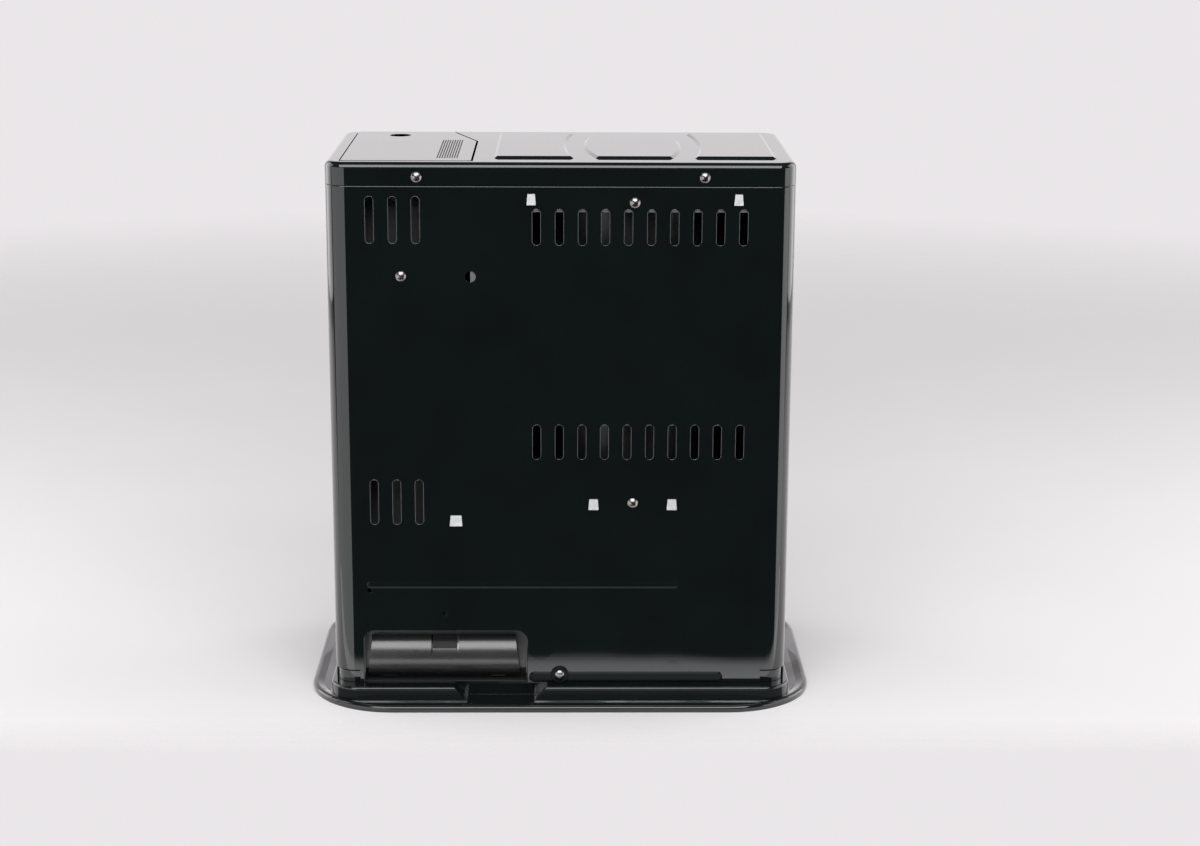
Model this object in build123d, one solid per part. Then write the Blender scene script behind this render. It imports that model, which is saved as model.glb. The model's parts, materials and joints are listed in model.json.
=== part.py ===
from build123d import *
import math
import os

# Paraffin heater, millimetres. X to the right and Z up as seen from the front, which faces -Y.
# The origin is the middle of the base tray's footprint, on the floor.

# Base tray
tray_width = 432.0
tray_depth = 290.0
tray_back_radius = 74.0
tray_front_radius = 90.0
tray_sheet = 1.2
rim_height = 5.5
rim_roll = 3.0
rim_land = 4.3
rim_slope = 5.5
gutter_height = 3.0
seat_height = 16.0
seat_draft = 0.5
seat_edge_radius = 2.0
seat_foot_step = 1.2
seat_radius = 24.0
seat_overhang = 4.0
seat_back_step = 12.0
seat_front_step = 16.0
notch_centre = 51.0
notch_width = 57.0
notch_flare = 12.0
notch_depth = 20.0
dimple_length = 8.0
dimple_width = 4.0

# Casing
body_width = 386.0
body_depth = 206.0
body_height = 463.0
back_overhang = 29.0
corner_radius = 17.0
sheet = 1.0
skirt_height = 18.8
skirt_gap = 0.3
tongue_gap = 0.25
tongue_height = 12.0
tongue_lap = 5.0
front_return = 20.0
joint_gap = 0.3
top_edge_radius = 5.0
seam_round = 0.9
foot_gap = 0.3

# Raised pads of the top plate
pad_height = 1.6
pad_slope = 2.5
pad_length = 154.0
disc_half_waist = 32.0
disc_bulge = 9.5
pad_spacing = 18.0
pad_tank_edge = 54.8
pad_side_edge = -177.6

# Tank lid and its hinge
lid_left = 180.0
lid_right = 73.5
lid_side_gap = 1.0
lid_wide_gap = 1.8
lid_corner_from_front = 69.4
lid_corner_shift = 24.5
lid_hole_x = 141.8
lid_hole_from_front = 30.0
lid_hole_radius = 9.3
lid_hinge_from_back = 13.5
lid_barrel_radius = 3.0
lid_pin_radius = 1.5
lid_pin_head_radius = 1.85
lid_back_gap = 0.8
pin_clearance = 0.05
ear_thickness = 2.0

# Burner bay
burner_x = -60.6
burner_from_middle = -2.0
bay_left = -174.8
bay_right = 65.7
deck_height = 167.0
shield_drop = 30.0
inner_sheet = 0.8
window_left = -176.0
window_right = 58.0
window_bottom = 174.0
window_drop = 35.0
window_radius = 12.0
window_flange = 13.0
reflector_half_width = 108.0
reflector_from_front = 18.0
reflector_from_back = 22.0
deck_hole_radius = 70.0
flange_lift = 18.0
deck_flange_half = 70.0

# Vent slots of the casing's back
slot_pitch = 18.84
slot_width = 7.0
bay_slot_start = 19.9
bay_slot_count = 10
bay_slot_length = 30.0
upper_slot_drop = 52.8
lower_slot_z = 229.0
tank_slot_start = 156.2
tank_slot_count = 3
tank_slot_length = 39.0
tank_upper_slot_drop = 47.0
tank_lower_slot_z = 176.8

# Beads and small holes of the casing's back
long_bead_height = 0.7
long_bead_slope = 1.8
low_bead_height = 1.5
low_bead_slope = 1.6
long_bead_z = 104.0
long_bead_width = 5.5
long_bead_ends = (-99.6, 163.6)
low_bead_z = 21.6
low_bead_width = 9.6
low_bead_ends = (-138.7, 26.9)
boss_x = 0.7
boss_z = 23.6
boss_radius = 7.6
boss_height = 2.2
boss_round = 1.2
boss_dimple_radius = 5.0
boss_dimple_floor = 0.8
half_moon_x = 74.2
half_moon_drop = 93.8
half_moon_radius = 4.6
wire_hole_x = 98.6
wire_hole_z = 78.3
wire_hole_radius = 2.0
bead_hole_x = 162.0
bead_hole_z = 99.0
corner_slit_z = 26.0
corner_slit_height = 1.8
corner_slit_reach = 22.0
corner_tuck = 2.4

# Screws
screw_head_radius = 4.3
screw_head_height = 2.5
screw_edge_height = 0.6
screw_cross_length = 4.6
screw_cross_width = 0.95
screw_cross_depth = 1.3
screw_radius = 1.9
screw_length = 9.0
screw_clearance = 0.15
skirt_screw_x = 117.4
skirt_screw_drop = 11.7
shield_screw_drop = 32.3
deck_screw_z = 176.2
guide_screw_x = 131.2
guide_screw_drop = 93.4

# Bent tabs that come out through the casing's back
tab_thickness = 0.8
upper_tab_half_spread = 84.7
upper_tab_width = 6.0
upper_tab_drop = 29.9
lower_tab_half_spread = 32.9
lower_tab_width = 7.0
lower_tab_z = 175.0
tab_length = 9.0
tab_flare = 0.7
tab_lip_height = 1.5
tab_lip_gap = 0.45
tab_lip_step = 0.7
partition_tab_x = 87.9
partition_tab_z = 160.7
partition_tab_width = 9.0
tab_clearance = 0.3

# Chassis plate, fixed tank and receiver
chassis_sheet = 1.2
chassis_flange_right = 60.0
chassis_flange_left = 20.0
sump_left = -176.0
sump_right = 176.0
sump_from_front = 12.0
sump_from_back = 58.0
sump_bottom = 26.0
sump_top = 58.0
sump_wall = 1.0
sump_radius = 22.0
seam_flange = 5.0
seam_thickness = 2.4
sump_foot_radius = 14.0
receiver_x = 127.0
receiver_from_middle = -19.0
receiver_radius = 31.0
receiver_clearance = 0.3
strainer_radius = 27.5
strainer_depth = 20.0
valve_pin_radius = 2.5

# Tank bay and cartridge tank
partition_x = 66.0
partition_flange = 7.2
partition_from_front = 60.0
partition_notch_z = 158.0
partition_step_z = 72.0
tank_left = 84.0
tank_right = 170.0
tank_from_front = 18.0
tank_from_back = 44.0
tank_bottom = 112.0
tank_top_drop = 39.0
tank_wall = 0.9
tank_radius = 10.0
tank_corner_cut = 36.0
neck_radius = 20.0
neck_height = 10.0
cap_radius = 24.0
cap_height = 15.0
cap_wall = 1.6
thread_clearance = 0.08
plunger_radius = 4.0
plunger_drop = 4.0
guide_width = 92.0
guide_height = 30.0
guide_clearance = 2.0

# Cartridge tank's bail handle
bail_wire_radius = 2.2
bail_span = 60.0
bail_reach = 44.0
bail_pivot_lift = 5.0
bail_from_middle = 7.0

# Wick and its lifting gear
draft_radius = 31.0
draft_wall = 1.0
wick_inner = 32.3
wick_outer = 35.8
wick_bottom = 34.0
wick_tip = 146.0
sleeve_wall = 0.9
sleeve_bottom = 36.0
sleeve_top = 118.0
wick_tube_gap = 0.9
wick_tube_wall = 1.0
wick_travel = 12.0
seat_plate_z = 148.0
seat_plate_radius = 66.0
flange_radius = 56.0
gear_module = 1.2
pinion_teeth = 12
rack_teeth = 9
rack_width = 8.0
rack_backing = 1.5
mesh_backlash = 0.25
shaft_radius = 4.0
shaft_z = 88.0
knob_radius = 21.0
knob_length = 20.0
knob_gap = 1.2
ratchet_radius = 17.0
ratchet_teeth = 20
ratchet_from_front = 20.0
bracket_from_front = 38.0
bracket_sheet = 1.6
bearing_clearance = 0.06
spring_radius = 9.0
spring_wire = 0.9
spring_turns = 5
spring_pitch = 4.4

# Control panel
panel_left = -176.0
panel_right = 176.0
panel_bottom = 21.0
panel_top = 163.0
panel_thickness = 3.0
panel_opening_margin = 8.0
panel_radius = 10.0
button_x = 92.0
button_radius = 9.0
button_travel = 6.0
button_clearance = 0.4
button_proud = 7.0
gauge_x = 146.0
gauge_window_width = 15.0
gauge_window_height = 34.0
gauge_z = 92.0
gauge_travel = 16.0
gauge_from_front = 28.0
gauge_rod_radius = 2.0
float_radius = 12.0
float_height = 12.0
lever_slot_z = 140.5
lever_slot_height = 25.0
lever_slot_width = 11.0

# Ignition lever
lever_x = 40.0
lever_pivot_from_front = 22.0
lever_pivot_z = 146.0
lever_shaft_radius = 3.0
lever_arm = 40.0
lever_cap_start = 32.0
lever_cap_length = 18.0
igniter_offset = 14.0
igniter_short_of_axis = 42.6
igniter_socket = 11.5
igniter_droop = 15.5
igniter_coil_radius = 2.0

# Tip-over trip
trip_x = -132.0
trip_from_front = 50.0
trip_pin_radius = 1.5
trip_pin_half = 8.4

# Release lever
release_pivot_x = 58.0
release_bar_half = 3.0

# Burner
base_radius = 63.0
base_height = 28.0
burner_floor_gap = 0.4
flame_outer_radius = 44.0
flame_inner_radius = 28.0
flame_tube_wall = 0.8
flame_tube_top = 306.0
glass_radius = 61.0
glass_wall = 2.2
glass_top = 326.0
top_ring_height = 8.0
flame_slot_rows = 5
flame_slot_count = 12
flame_slot_width = 5.0
flame_slot_length = 16.0
cross_pin_radius = 1.2
cross_pin_drop = 8.0
spreader_radius = 47.0
handle_angle = -52.0
handle_reach = 26.0
swivel_notch_half = 17.0

# Guard grille
guard_wire_radius = 1.6
guard_rod_radius = 2.0
guard_rod_inset = 8.0
guard_rod_depth = 4.0
guard_bow = 22.0
guard_lead = 24.0
guard_rows = 11
guard_edge = 16.0

# Battery compartment
cell_radius = 17.0
cell_length = 61.0
cell_z = 37.6
cell_from_back = 19.5
cell_clearance = 0.5
cell_shift = 2.25
contact_space = 3.0
contact_radius = 4.4
case_wall = 1.6
case_mouth_from_back = 13.4
case_ledge = 1.3
case_mouth_wall = 1.4
recess_left = 167.4
recess_right = 28.5
recess_top = 62.9
recess_radius = 9.0
recess_edge = 0.45
cover_radius = 20.5
cover_wall = 1.6
cover_angle = 58.5
cover_draft = 5.4
cover_end_wall = 1.0
cover_gap = 2.0
cover_end_step = 3.0
cover_floor_gap = 0.3
latch_width = 21.0
latch_height = 12.0
latch_slit = 1.2
latch_thickness = 3.0
latch_pocket_depth = 2.0
latch_pocket_height = 5.0
latch_lip = 1.6

# Hand grips
grip_from_middle = 12.0
grip_length = 92.0
grip_z = 331.0
grip_pocket_height = 26.0
grip_pocket_depth = 14.0
grip_wall = 1.6
grip_lip = 2.2
grip_screw_z = 352.0

# Places that follow from the sizes above
body_back = tray_depth / 2 - back_overhang
body_front = body_back - body_depth
body_middle = (body_back + body_front) / 2
side_x = body_width / 2
skirt_bottom = body_height - skirt_height
shield_height = body_height - shield_drop
window_top = body_height - window_drop
tank_top = body_height - tank_top_drop
upper_slot_z = body_height - upper_slot_drop
tank_upper_slot_z = body_height - tank_upper_slot_drop
half_moon_z = body_height - half_moon_drop
skirt_screw_z = body_height - skirt_screw_drop
shield_screw_z = body_height - shield_screw_drop
guide_screw_z = body_height - guide_screw_drop
upper_tab_z = body_height - upper_tab_drop
lid_corner_y = body_front + lid_corner_from_front
lid_hole_y = body_front + lid_hole_from_front
lid_hinge_y = body_back - lid_hinge_from_back
burner_y = body_middle + burner_from_middle
reflector_front = body_front + reflector_from_front
reflector_depth = body_back - reflector_from_back - reflector_front
sump_front = body_front + sump_from_front
sump_back = body_back - sump_from_back
receiver_y = body_middle + receiver_from_middle
partition_front_y = body_front + partition_from_front
tank_front = body_front + tank_from_front
tank_back = body_back - tank_from_back
bail_y = body_middle + bail_from_middle
ratchet_y = body_front + ratchet_from_front
bracket_y = body_front + bracket_from_front
gauge_y = body_front + gauge_from_front
lever_pivot_y = body_front + lever_pivot_from_front
igniter_x = burner_x + igniter_offset
igniter_reach = burner_y - lever_pivot_y - igniter_short_of_axis
trip_y = body_front + trip_from_front
cell_y = body_back - cell_from_back
case_mouth_y = body_back - case_mouth_from_back
grip_y = body_middle + grip_from_middle
casing_bottom = seat_height + foot_gap
back_inside = body_back - sheet
front_inside = body_front + sheet
panel_front = body_front - panel_thickness
chassis_top = seat_height + chassis_sheet
sleeve_outer = wick_outer + sleeve_wall
tube_inner = sleeve_outer + wick_tube_gap
tube_outer = tube_inner + wick_tube_wall
rack_root = sleeve_outer + rack_backing
pitch_radius = gear_module * pinion_teeth / 2
addendum = gear_module
dedendum = 1.25 * gear_module
shaft_x = burner_x + rack_root + dedendum + pitch_radius
lid_hinge_z = body_height - lid_barrel_radius
inner_top = skirt_bottom - skirt_gap - tongue_lap - 0.6
receiver_top = tank_bottom - receiver_clearance


def block(x, y, z):
    """A box between a low and a high coordinate on each axis."""
    low = (x[0], y[0], z[0])
    high = (x[1], y[1], z[1])
    size = [b - a for a, b in zip(low, high)]
    middle = [(a + b) / 2 for a, b in zip(low, high)]
    return Pos(*middle) * Box(*size)


def rod(axis, at, span, radius):
    """A cylinder along one axis, at the other two coordinates."""
    bar = Cylinder(radius, span[1] - span[0], align=(Align.CENTER, Align.CENTER, Align.MIN))
    if axis == "z":
        return Pos(at[0], at[1], span[0]) * bar
    if axis == "y":
        return Pos(at[0], span[0], at[1]) * Rot(-90, 0, 0) * bar
    return Pos(span[0], at[0], at[1]) * Rot(0, 90, 0) * bar


def tube(axis, at, span, outer, inner):
    return rod(axis, at, span, outer) - rod(axis, at, span, inner)


def plan(x_size, y_size, back_radius, front_radius, middle):
    """A rounded rectangle in plan whose back and front corners differ."""
    outline = Rectangle(x_size, y_size)
    outline = fillet(outline.vertices().group_by(Axis.Y)[-1], back_radius)
    outline = fillet(outline.vertices().group_by(Axis.Y)[0], front_radius)
    return Pos(0, middle) * outline


def upright(sketch, y, z_middle=0.0, x_middle=0.0):
    """Stands a sketch up facing the front: its own x and y become X and Z."""
    plane = Plane(origin=(x_middle, y, z_middle), x_dir=(1, 0, 0), z_dir=(0, -1, 0))
    return plane * sketch


def through(sketch, y, x_middle=0.0, z_middle=0.0):
    """A prism of an upright sketch between two places along Y."""
    return extrude(upright(sketch, y[1], z_middle, x_middle), amount=y[1] - y[0])


def save(name, shape):
    shape.label = name
    export_step(shape, "parts/" + name + ".step")


def slope(low, low_z, high, high_z):
    """A straight-sided solid between two outlines at two heights."""
    return loft([Pos(0, 0, low_z) * low, Pos(0, 0, high_z) * high], ruled=True)


# Base tray


def tray_outline(inset):
    return plan(
        tray_width - 2 * inset,
        tray_depth - 2 * inset,
        tray_back_radius - inset,
        tray_front_radius - inset,
        0,
    )


def seat_outline(inset):
    back = body_back + seat_back_step
    front = body_front - seat_front_step
    return plan(
        body_width + 2 * seat_overhang - 2 * inset,
        back - front - 2 * inset,
        seat_radius - inset,
        seat_radius - inset,
        (back + front) / 2,
    )


def seat_notch(grow):
    """The finger notch in the back wall of the raised seat, flared upwards."""
    back = body_back + seat_back_step + 2
    depth = notch_depth + 1 + grow
    middle = back - depth / 2
    foot = Rectangle(notch_width + 2 * grow, depth)
    mouth = Rectangle(notch_width + 2 * notch_flare + 2 * grow, depth)
    low = Pos(notch_centre, middle, gutter_height - grow) * foot
    high = Pos(notch_centre, middle, seat_height + 1) * mouth
    return loft([low, high], ruled=True)


def rolled(solid, radius):
    """Rounds the outer edge of a solid's top face."""
    return fillet(solid.faces().sort_by(Axis.Z)[-1].edges(), radius)


def make_base_tray():
    """Pressed tray: a low rim with a rolled hem, a gutter and the raised seat of the body."""
    rim = rolled(extrude(tray_outline(0), amount=rim_height), rim_roll)
    land = rim_land
    pan = slope(tray_outline(land + rim_slope), gutter_height, tray_outline(land), rim_height)
    seat = slope(seat_outline(0), gutter_height, seat_outline(seat_draft), seat_height)
    seat = rolled(seat, seat_edge_radius)
    step = seat_foot_step
    foot = slope(seat_outline(-step), gutter_height, seat_outline(0), gutter_height + step)
    tray = rim - pan + seat + foot - seat_notch(0)
    under = tray_sheet
    skirt = rolled(extrude(tray_outline(under), amount=rim_height - under), rim_roll - under)
    below_pan = slope(
        tray_outline(land + rim_slope - under / 2),
        gutter_height - under,
        tray_outline(land - under / 2),
        rim_height - under,
    )
    hollow = skirt - below_pan
    seat_foot = seat_outline(under)
    seat_crest = seat_outline(seat_draft + under)
    below_seat = slope(seat_foot, gutter_height - under, seat_crest, seat_height - under)
    tray = tray - hollow - (below_seat - seat_notch(under))
    for side in (-1, 1):
        hole = SlotOverall(dimple_length, dimple_width)
        x = notch_centre + side * notch_width / 2
        y = body_back + seat_back_step + dimple_width
        tray -= Pos(x, y, 0) * extrude(hole, amount=gutter_height)
    return tray


# Casing


def casing_outline(inset):
    radius = corner_radius - inset
    return plan(body_width - 2 * inset, body_depth - 2 * inset, radius, radius, body_middle)


def casing_ring(z, inset):
    ring = casing_outline(inset) - casing_outline(inset + sheet)
    return Pos(0, 0, z[0]) * extrude(ring, amount=z[1] - z[0])


def make_casing_wall():
    """The whole upright wall, with the tongue that stands inside the top plate's skirt."""
    top = skirt_bottom - skirt_gap
    height = top - casing_bottom
    wall = rolled(Pos(0, 0, casing_bottom) * extrude(casing_outline(0), amount=height), seam_round)
    wall -= Pos(0, 0, casing_bottom) * extrude(casing_outline(sheet), amount=height)
    inset = sheet + tongue_gap
    step = casing_outline(sheet / 2) - casing_outline(inset + sheet)
    wall += Pos(0, 0, top - tongue_lap) * extrude(step, amount=tongue_lap)
    wall += casing_ring((top - tongue_lap, top + tongue_height), inset)
    return wall


def split_y():
    return body_front + front_return


def slot_row(start, count, z, length):
    """Upright vent slots side by side, cut through the back."""
    cut = SlotOverall(length, slot_width, rotation=90)
    row = Sketch()
    for index in range(count):
        row += Pos(start - index * slot_pitch, z) * cut
    return through(row, (back_inside - 1, body_back + 1))


def bead(ends, z, width, height, flank, grow):
    """A long raised bead with round ends and sloping flanks."""
    length = ends[1] - ends[0]
    middle = (ends[1] + ends[0]) / 2
    foot = SlotOverall(length - 2 * grow, width - 2 * grow)
    inset = 2 * (grow * 0.5 + flank)
    crest = SlotOverall(length - inset, width - inset)
    level = body_back - grow
    return loft(
        [upright(foot, level, z, middle), upright(crest, level + height, z, middle)], ruled=True
    )


def back_screws():
    """X, Z and the surface that each back screw's head sits on."""
    return (
        (skirt_screw_x, skirt_screw_z, body_back),
        (-skirt_screw_x, skirt_screw_z, body_back),
        (burner_x, shield_screw_z, body_back),
        (burner_x, deck_screw_z, body_back),
        (guide_screw_x, guide_screw_z, body_back),
        (boss_x, boss_z, body_back + boss_dimple_floor),
    )


def back_tabs():
    """X, Z and width of each bent tab on the casing's back."""
    tabs = []
    for side in (-1, 1):
        tabs.append((burner_x + side * upper_tab_half_spread, upper_tab_z, upper_tab_width))
        tabs.append((burner_x + side * lower_tab_half_spread, lower_tab_z, lower_tab_width))
    tabs.append((partition_tab_x, partition_tab_z, partition_tab_width))
    return tabs


def tab_shape(x, z, width):
    """A tab that comes out through the back and is bent down flat against it."""
    half = width / 2
    out = block(
        (x - half, x + half),
        (back_inside - inner_sheet, body_back + tab_thickness),
        (z + tab_length / 2 - tab_thickness, z + tab_length / 2),
    )
    low = z - tab_length / 2
    fold = low + tab_lip_height
    wide = half + tab_flare
    high = z + tab_length / 2
    outline = Polyline((x - wide, fold), (x + wide, fold), (x + half, high), (x - half, high), close=True)
    down = through(make_face(outline), (body_back, body_back + tab_thickness))
    lip = block((x - wide, x + wide), (body_back, body_back + tab_thickness + tab_lip_step), (low, fold))
    groove_z = (fold, fold + tab_lip_gap)
    groove_y = (body_back + tab_thickness / 2, body_back + 2)
    return out + down + lip - block((x - wide - 1, x + wide + 1), groove_y, groove_z)


def tab_slot(x, z, width):
    half = width / 2 + tab_clearance
    top = z + tab_length / 2
    return block(
        (x - half, x + half),
        (back_inside - 1, body_back + 1),
        (top - tab_thickness - tab_clearance, top + tab_clearance),
    )


def grip_opening(side):
    inside = side_x - sheet - 1
    x = sorted((side * inside, side * (side_x + 1)))
    half_length = grip_length / 2 - grip_wall * 2
    half_height = grip_pocket_height / 2
    return block(
        x, (grip_y - half_length, grip_y + half_length), (grip_z - half_height, grip_z + half_height)
    )


def make_casing():
    wall = make_casing_wall()
    keep = block((-side_x - 1, side_x + 1), (split_y() + joint_gap, body_back + 1), (0, body_height))
    casing = wall & keep
    long_bead = (long_bead_ends, long_bead_z, long_bead_width, long_bead_height, long_bead_slope)
    casing += bead(*long_bead, 0)
    casing += bead(low_bead_ends, low_bead_z, low_bead_width, low_bead_height, low_bead_slope, 0)
    casing += screw_boss()
    casing -= rod("y", (boss_x, boss_z), (body_back + boss_dimple_floor, body_back + 9), boss_dimple_radius)
    casing -= bead(*long_bead, sheet)
    casing -= slot_row(bay_slot_start, bay_slot_count, upper_slot_z, bay_slot_length)
    casing -= slot_row(bay_slot_start, bay_slot_count, lower_slot_z, bay_slot_length)
    casing -= slot_row(tank_slot_start, tank_slot_count, tank_upper_slot_z, tank_slot_length)
    casing -= slot_row(tank_slot_start, tank_slot_count, tank_lower_slot_z, tank_slot_length)
    hole = screw_radius + screw_clearance
    for x, z, seat in back_screws():
        casing -= rod("y", (x, z), (back_inside - 3, seat + 1), hole)
    for x, z, width in back_tabs():
        casing -= tab_slot(x, z, width)
    small_holes = (
        (half_moon_x, half_moon_z, half_moon_radius),
        (wire_hole_x, wire_hole_z, wire_hole_radius),
        (bead_hole_x, bead_hole_z, wire_hole_radius),
    )
    for x, z, radius in small_holes:
        casing -= rod("y", (x, z), (back_inside - 1, body_back + 2), radius)
    casing -= recess_cut()
    for side in (-1, 1):
        casing -= grip_opening(side)
        casing -= grip_screw_hole(side)
        casing = tuck_corner(casing, side)
    reach = body_width
    return casing & block((-reach, reach), (-reach, reach), (casing_bottom, body_height))


def screw_boss():
    """Round boss on the low bead, with the screw in its dimple."""
    boss = rod("y", (boss_x, boss_z), (back_inside, body_back + boss_height), boss_radius)
    return fillet(boss.faces().sort_by(Axis.Y)[-1].edges(), boss_round)


def recess_shape(grow):
    height = recess_top - casing_bottom + 20
    shape = Rectangle(recess_left - recess_right + 2 * grow, height + 2 * grow)
    return fillet(shape.vertices().group_by(Axis.Y)[-1], recess_radius + grow)


def recess_cut():
    """The battery recess: open at the casing's bottom edge, with round upper corners and a soft edge."""
    x = (recess_left + recess_right) / 2
    z = recess_top - (recess_top - casing_bottom + 20) / 2
    cut = through(recess_shape(0), (back_inside - 1, body_back + 5), x, z)
    edge = recess_edge
    low = upright(recess_shape(0), body_back - edge, z, x)
    high = upright(recess_shape(edge), body_back, z, x)
    return cut + loft([low, high], ruled=True)


def grip_screw_hole(side):
    x = sorted((side * (side_x - sheet - 1), side * (side_x + 1)))
    return rod("x", (grip_y, grip_screw_z), x, screw_radius + screw_clearance)


def tuck_corner(casing, side):
    """The slit round each lower back corner, and the corner tongue pressed in below it."""
    x = sorted((side * (side_x - corner_slit_reach), side * (side_x + 1)))
    y = (body_back - corner_slit_reach, body_back + 1)
    slit = block(x, y, (corner_slit_z, corner_slit_z + corner_slit_height))
    low = block(x, y, (0, corner_slit_z))
    tucked = casing_ring((casing_bottom, corner_slit_z), corner_tuck) & low
    x_side = sorted((side * (side_x - corner_tuck - sheet), side * side_x))
    web = block(x_side, (y[0] - sheet, y[0]), (casing_bottom, corner_slit_z))
    x_back = sorted((side * (side_x - corner_slit_reach - sheet), side * (side_x - corner_slit_reach)))
    web += block(x_back, (body_back - corner_tuck - sheet, body_back), (casing_bottom, corner_slit_z))
    return casing - slit - low + tucked + web


def make_front_frame():
    """Front face with its side returns, the burner window and the opening behind the panel."""
    wall = make_casing_wall()
    keep = block((-side_x - 1, side_x + 1), (body_front - 1, split_y()), (0, body_height))
    frame = wall & keep
    width = window_right - window_left
    height = window_top - window_bottom
    middle = (window_right + window_left) / 2
    z = (window_top + window_bottom) / 2
    window = RectangleRounded(width, height, window_radius)
    rim = RectangleRounded(width + 2 * sheet, height + 2 * sheet, window_radius + sheet)
    frame += through(rim, (body_front, body_front + window_flange), middle, z)
    frame -= through(window, (body_front - 1, body_front + window_flange + 1), middle, z)
    rod_hole = guard_rod_radius + screw_clearance
    at = (guard_rod_x(), guard_y())
    frame -= rod("z", at, (window_bottom - 3, window_top + 3), rod_hole)
    margin = panel_opening_margin
    opening = RectangleRounded(
        panel_right - panel_left - 2 * margin, panel_top - panel_bottom - 2 * margin, panel_radius
    )
    frame -= through(
        opening,
        (body_front - 1, front_inside + 1),
        (panel_right + panel_left) / 2,
        (panel_top + panel_bottom) / 2,
    )
    for x, z in panel_screws():
        frame -= rod("y", (x, z), (body_front - 1, front_inside + 1), screw_radius + screw_clearance)
    return frame


# Top plate and lid


def top_shell():
    """The pan that closes the top, before the tank opening is cut."""
    outer = Pos(0, 0, skirt_bottom) * extrude(casing_outline(0), amount=skirt_height)
    outer = fillet(outer.faces().sort_by(Axis.Z)[-1].edges(), top_edge_radius)
    inner = Pos(0, 0, skirt_bottom - 1) * extrude(casing_outline(sheet), amount=skirt_height + 1 - sheet)
    inner = fillet(inner.faces().sort_by(Axis.Z)[-1].edges(), top_edge_radius - sheet)
    return outer - inner


def pad_outlines(inset):
    """Three raised pads: a barrel-shaped one over the burner between two that curve round it."""
    half = pad_length / 2 - inset
    y = burner_y
    waist = disc_half_waist - inset
    centre = burner_x
    left = centre - waist
    right = centre + waist
    edges = [
        ThreePointArc((left, y - half), (left - disc_bulge, y), (left, y + half)),
        Line((left, y + half), (right, y + half)),
        ThreePointArc((right, y + half), (right + disc_bulge, y), (right, y - half)),
        Line((right, y - half), (left, y - half)),
    ]
    pads = [make_face(edges)]
    bulge = disc_bulge * 0.66
    for near, far in ((1, pad_tank_edge), (-1, pad_side_edge)):
        start = centre + near * (disc_half_waist + pad_spacing + inset)
        end = far - near * inset
        edges = [
            ThreePointArc((start, y - half), (start + near * bulge, y), (start, y + half)),
            Line((start, y + half), (end, y + half)),
            Line((end, y + half), (end, y - half)),
            Line((end, y - half), (start, y - half)),
        ]
        pads.append(make_face(edges))
    return pads


def pad_solids(drop):
    solids = []
    top = body_height - drop
    for foot, crest in zip(pad_outlines(drop * 0.6), pad_outlines(drop * 0.6 + pad_slope)):
        solids.append(loft([Pos(0, 0, top) * foot, Pos(0, 0, top + pad_height) * crest], ruled=True))
    return solids


def lid_zone(grow):
    """The plan area of the lid, run out past the front edge; grow widens it to the opening."""
    left = lid_left + grow * lid_side_gap
    right = lid_right - grow * lid_wide_gap
    back = lid_hinge_y + grow * (lid_barrel_radius + lid_back_gap)
    front = body_front - 20
    slant = lid_corner_shift / (lid_corner_y - body_front)
    far_right = right + slant * (lid_corner_y - front)
    points = [(left, back), (right, back), (right, lid_corner_y), (far_right, front), (left, front)]
    zone = make_face(Polyline(*points, close=True))
    return Pos(0, 0, skirt_bottom - 2) * extrude(zone, amount=skirt_height + 10)


def lid_barrel_span():
    return (lid_right + 3.0, lid_left - 3.0)


def make_top_plate():
    plate = top_shell()
    for pad in pad_solids(0):
        plate += pad
    for hollow in pad_solids(sheet):
        plate -= hollow
    plate -= lid_zone(1)
    low = lid_hinge_z - 4
    for x in hinge_ears():
        ear = block(x, (lid_hinge_y - 4, lid_hinge_y + 8), (low, body_height - sheet / 2))
        plate += ear & top_inside()
        plate -= hinge_bore((x[0] - 1, x[1] + 1))
    hole = screw_radius + screw_clearance
    for side in (-1, 1):
        plate -= rod("y", (side * skirt_screw_x, skirt_screw_z), (back_inside - 1, body_back + 1), hole)
    return plate


def top_inside():
    height = skirt_height + 1 - sheet / 2
    return Pos(0, 0, skirt_bottom - 1) * extrude(casing_outline(sheet / 2), amount=height)


def hinge_bore(span):
    """The hole for the lid's hinge pin."""
    return rod("x", (lid_hinge_y, lid_hinge_z), span, lid_pin_radius + pin_clearance)


def hinge_ears():
    """X ranges of the two ears that carry the lid's pin."""
    right = lid_right - lid_wide_gap
    left = lid_left + lid_side_gap
    return ((right - ear_thickness, right), (left, left + ear_thickness))


def make_tank_lid():
    lid = top_shell() & lid_zone(0)
    lid -= rod("z", (lid_hole_x, lid_hole_y), (skirt_bottom, body_height + 1), lid_hole_radius)
    span = lid_barrel_span()
    y = (body_front - 30, lid_hinge_y)
    lid = lid & block((lid_right - 1, lid_left + 1), y, (skirt_bottom - 3, body_height + 1))
    lid += rod("x", (lid_hinge_y, lid_hinge_z), span, lid_barrel_radius)
    half = sheet / 2
    for rib_x in (lid_right + 8, lid_left - 8):
        rib = (body_height - 6, body_height - half)
        lid += block((rib_x - half, rib_x + half), (-15, lid_hinge_y - 6), rib)
    return lid - hinge_bore((span[0] - 1, span[1] + 1))


def make_lid_pin():
    at = (lid_hinge_y, lid_hinge_z)
    ears = hinge_ears()
    start = ears[0][0]
    end = ears[1][1]
    pin = rod("x", at, (start - 0.8, end + 0.8), lid_pin_radius)
    pin += rod("x", at, (start - 1.8, start - 0.3), lid_pin_head_radius)
    return pin + rod("x", at, (end + 0.3, end + 1.8), lid_pin_head_radius)


# Burner bay


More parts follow.
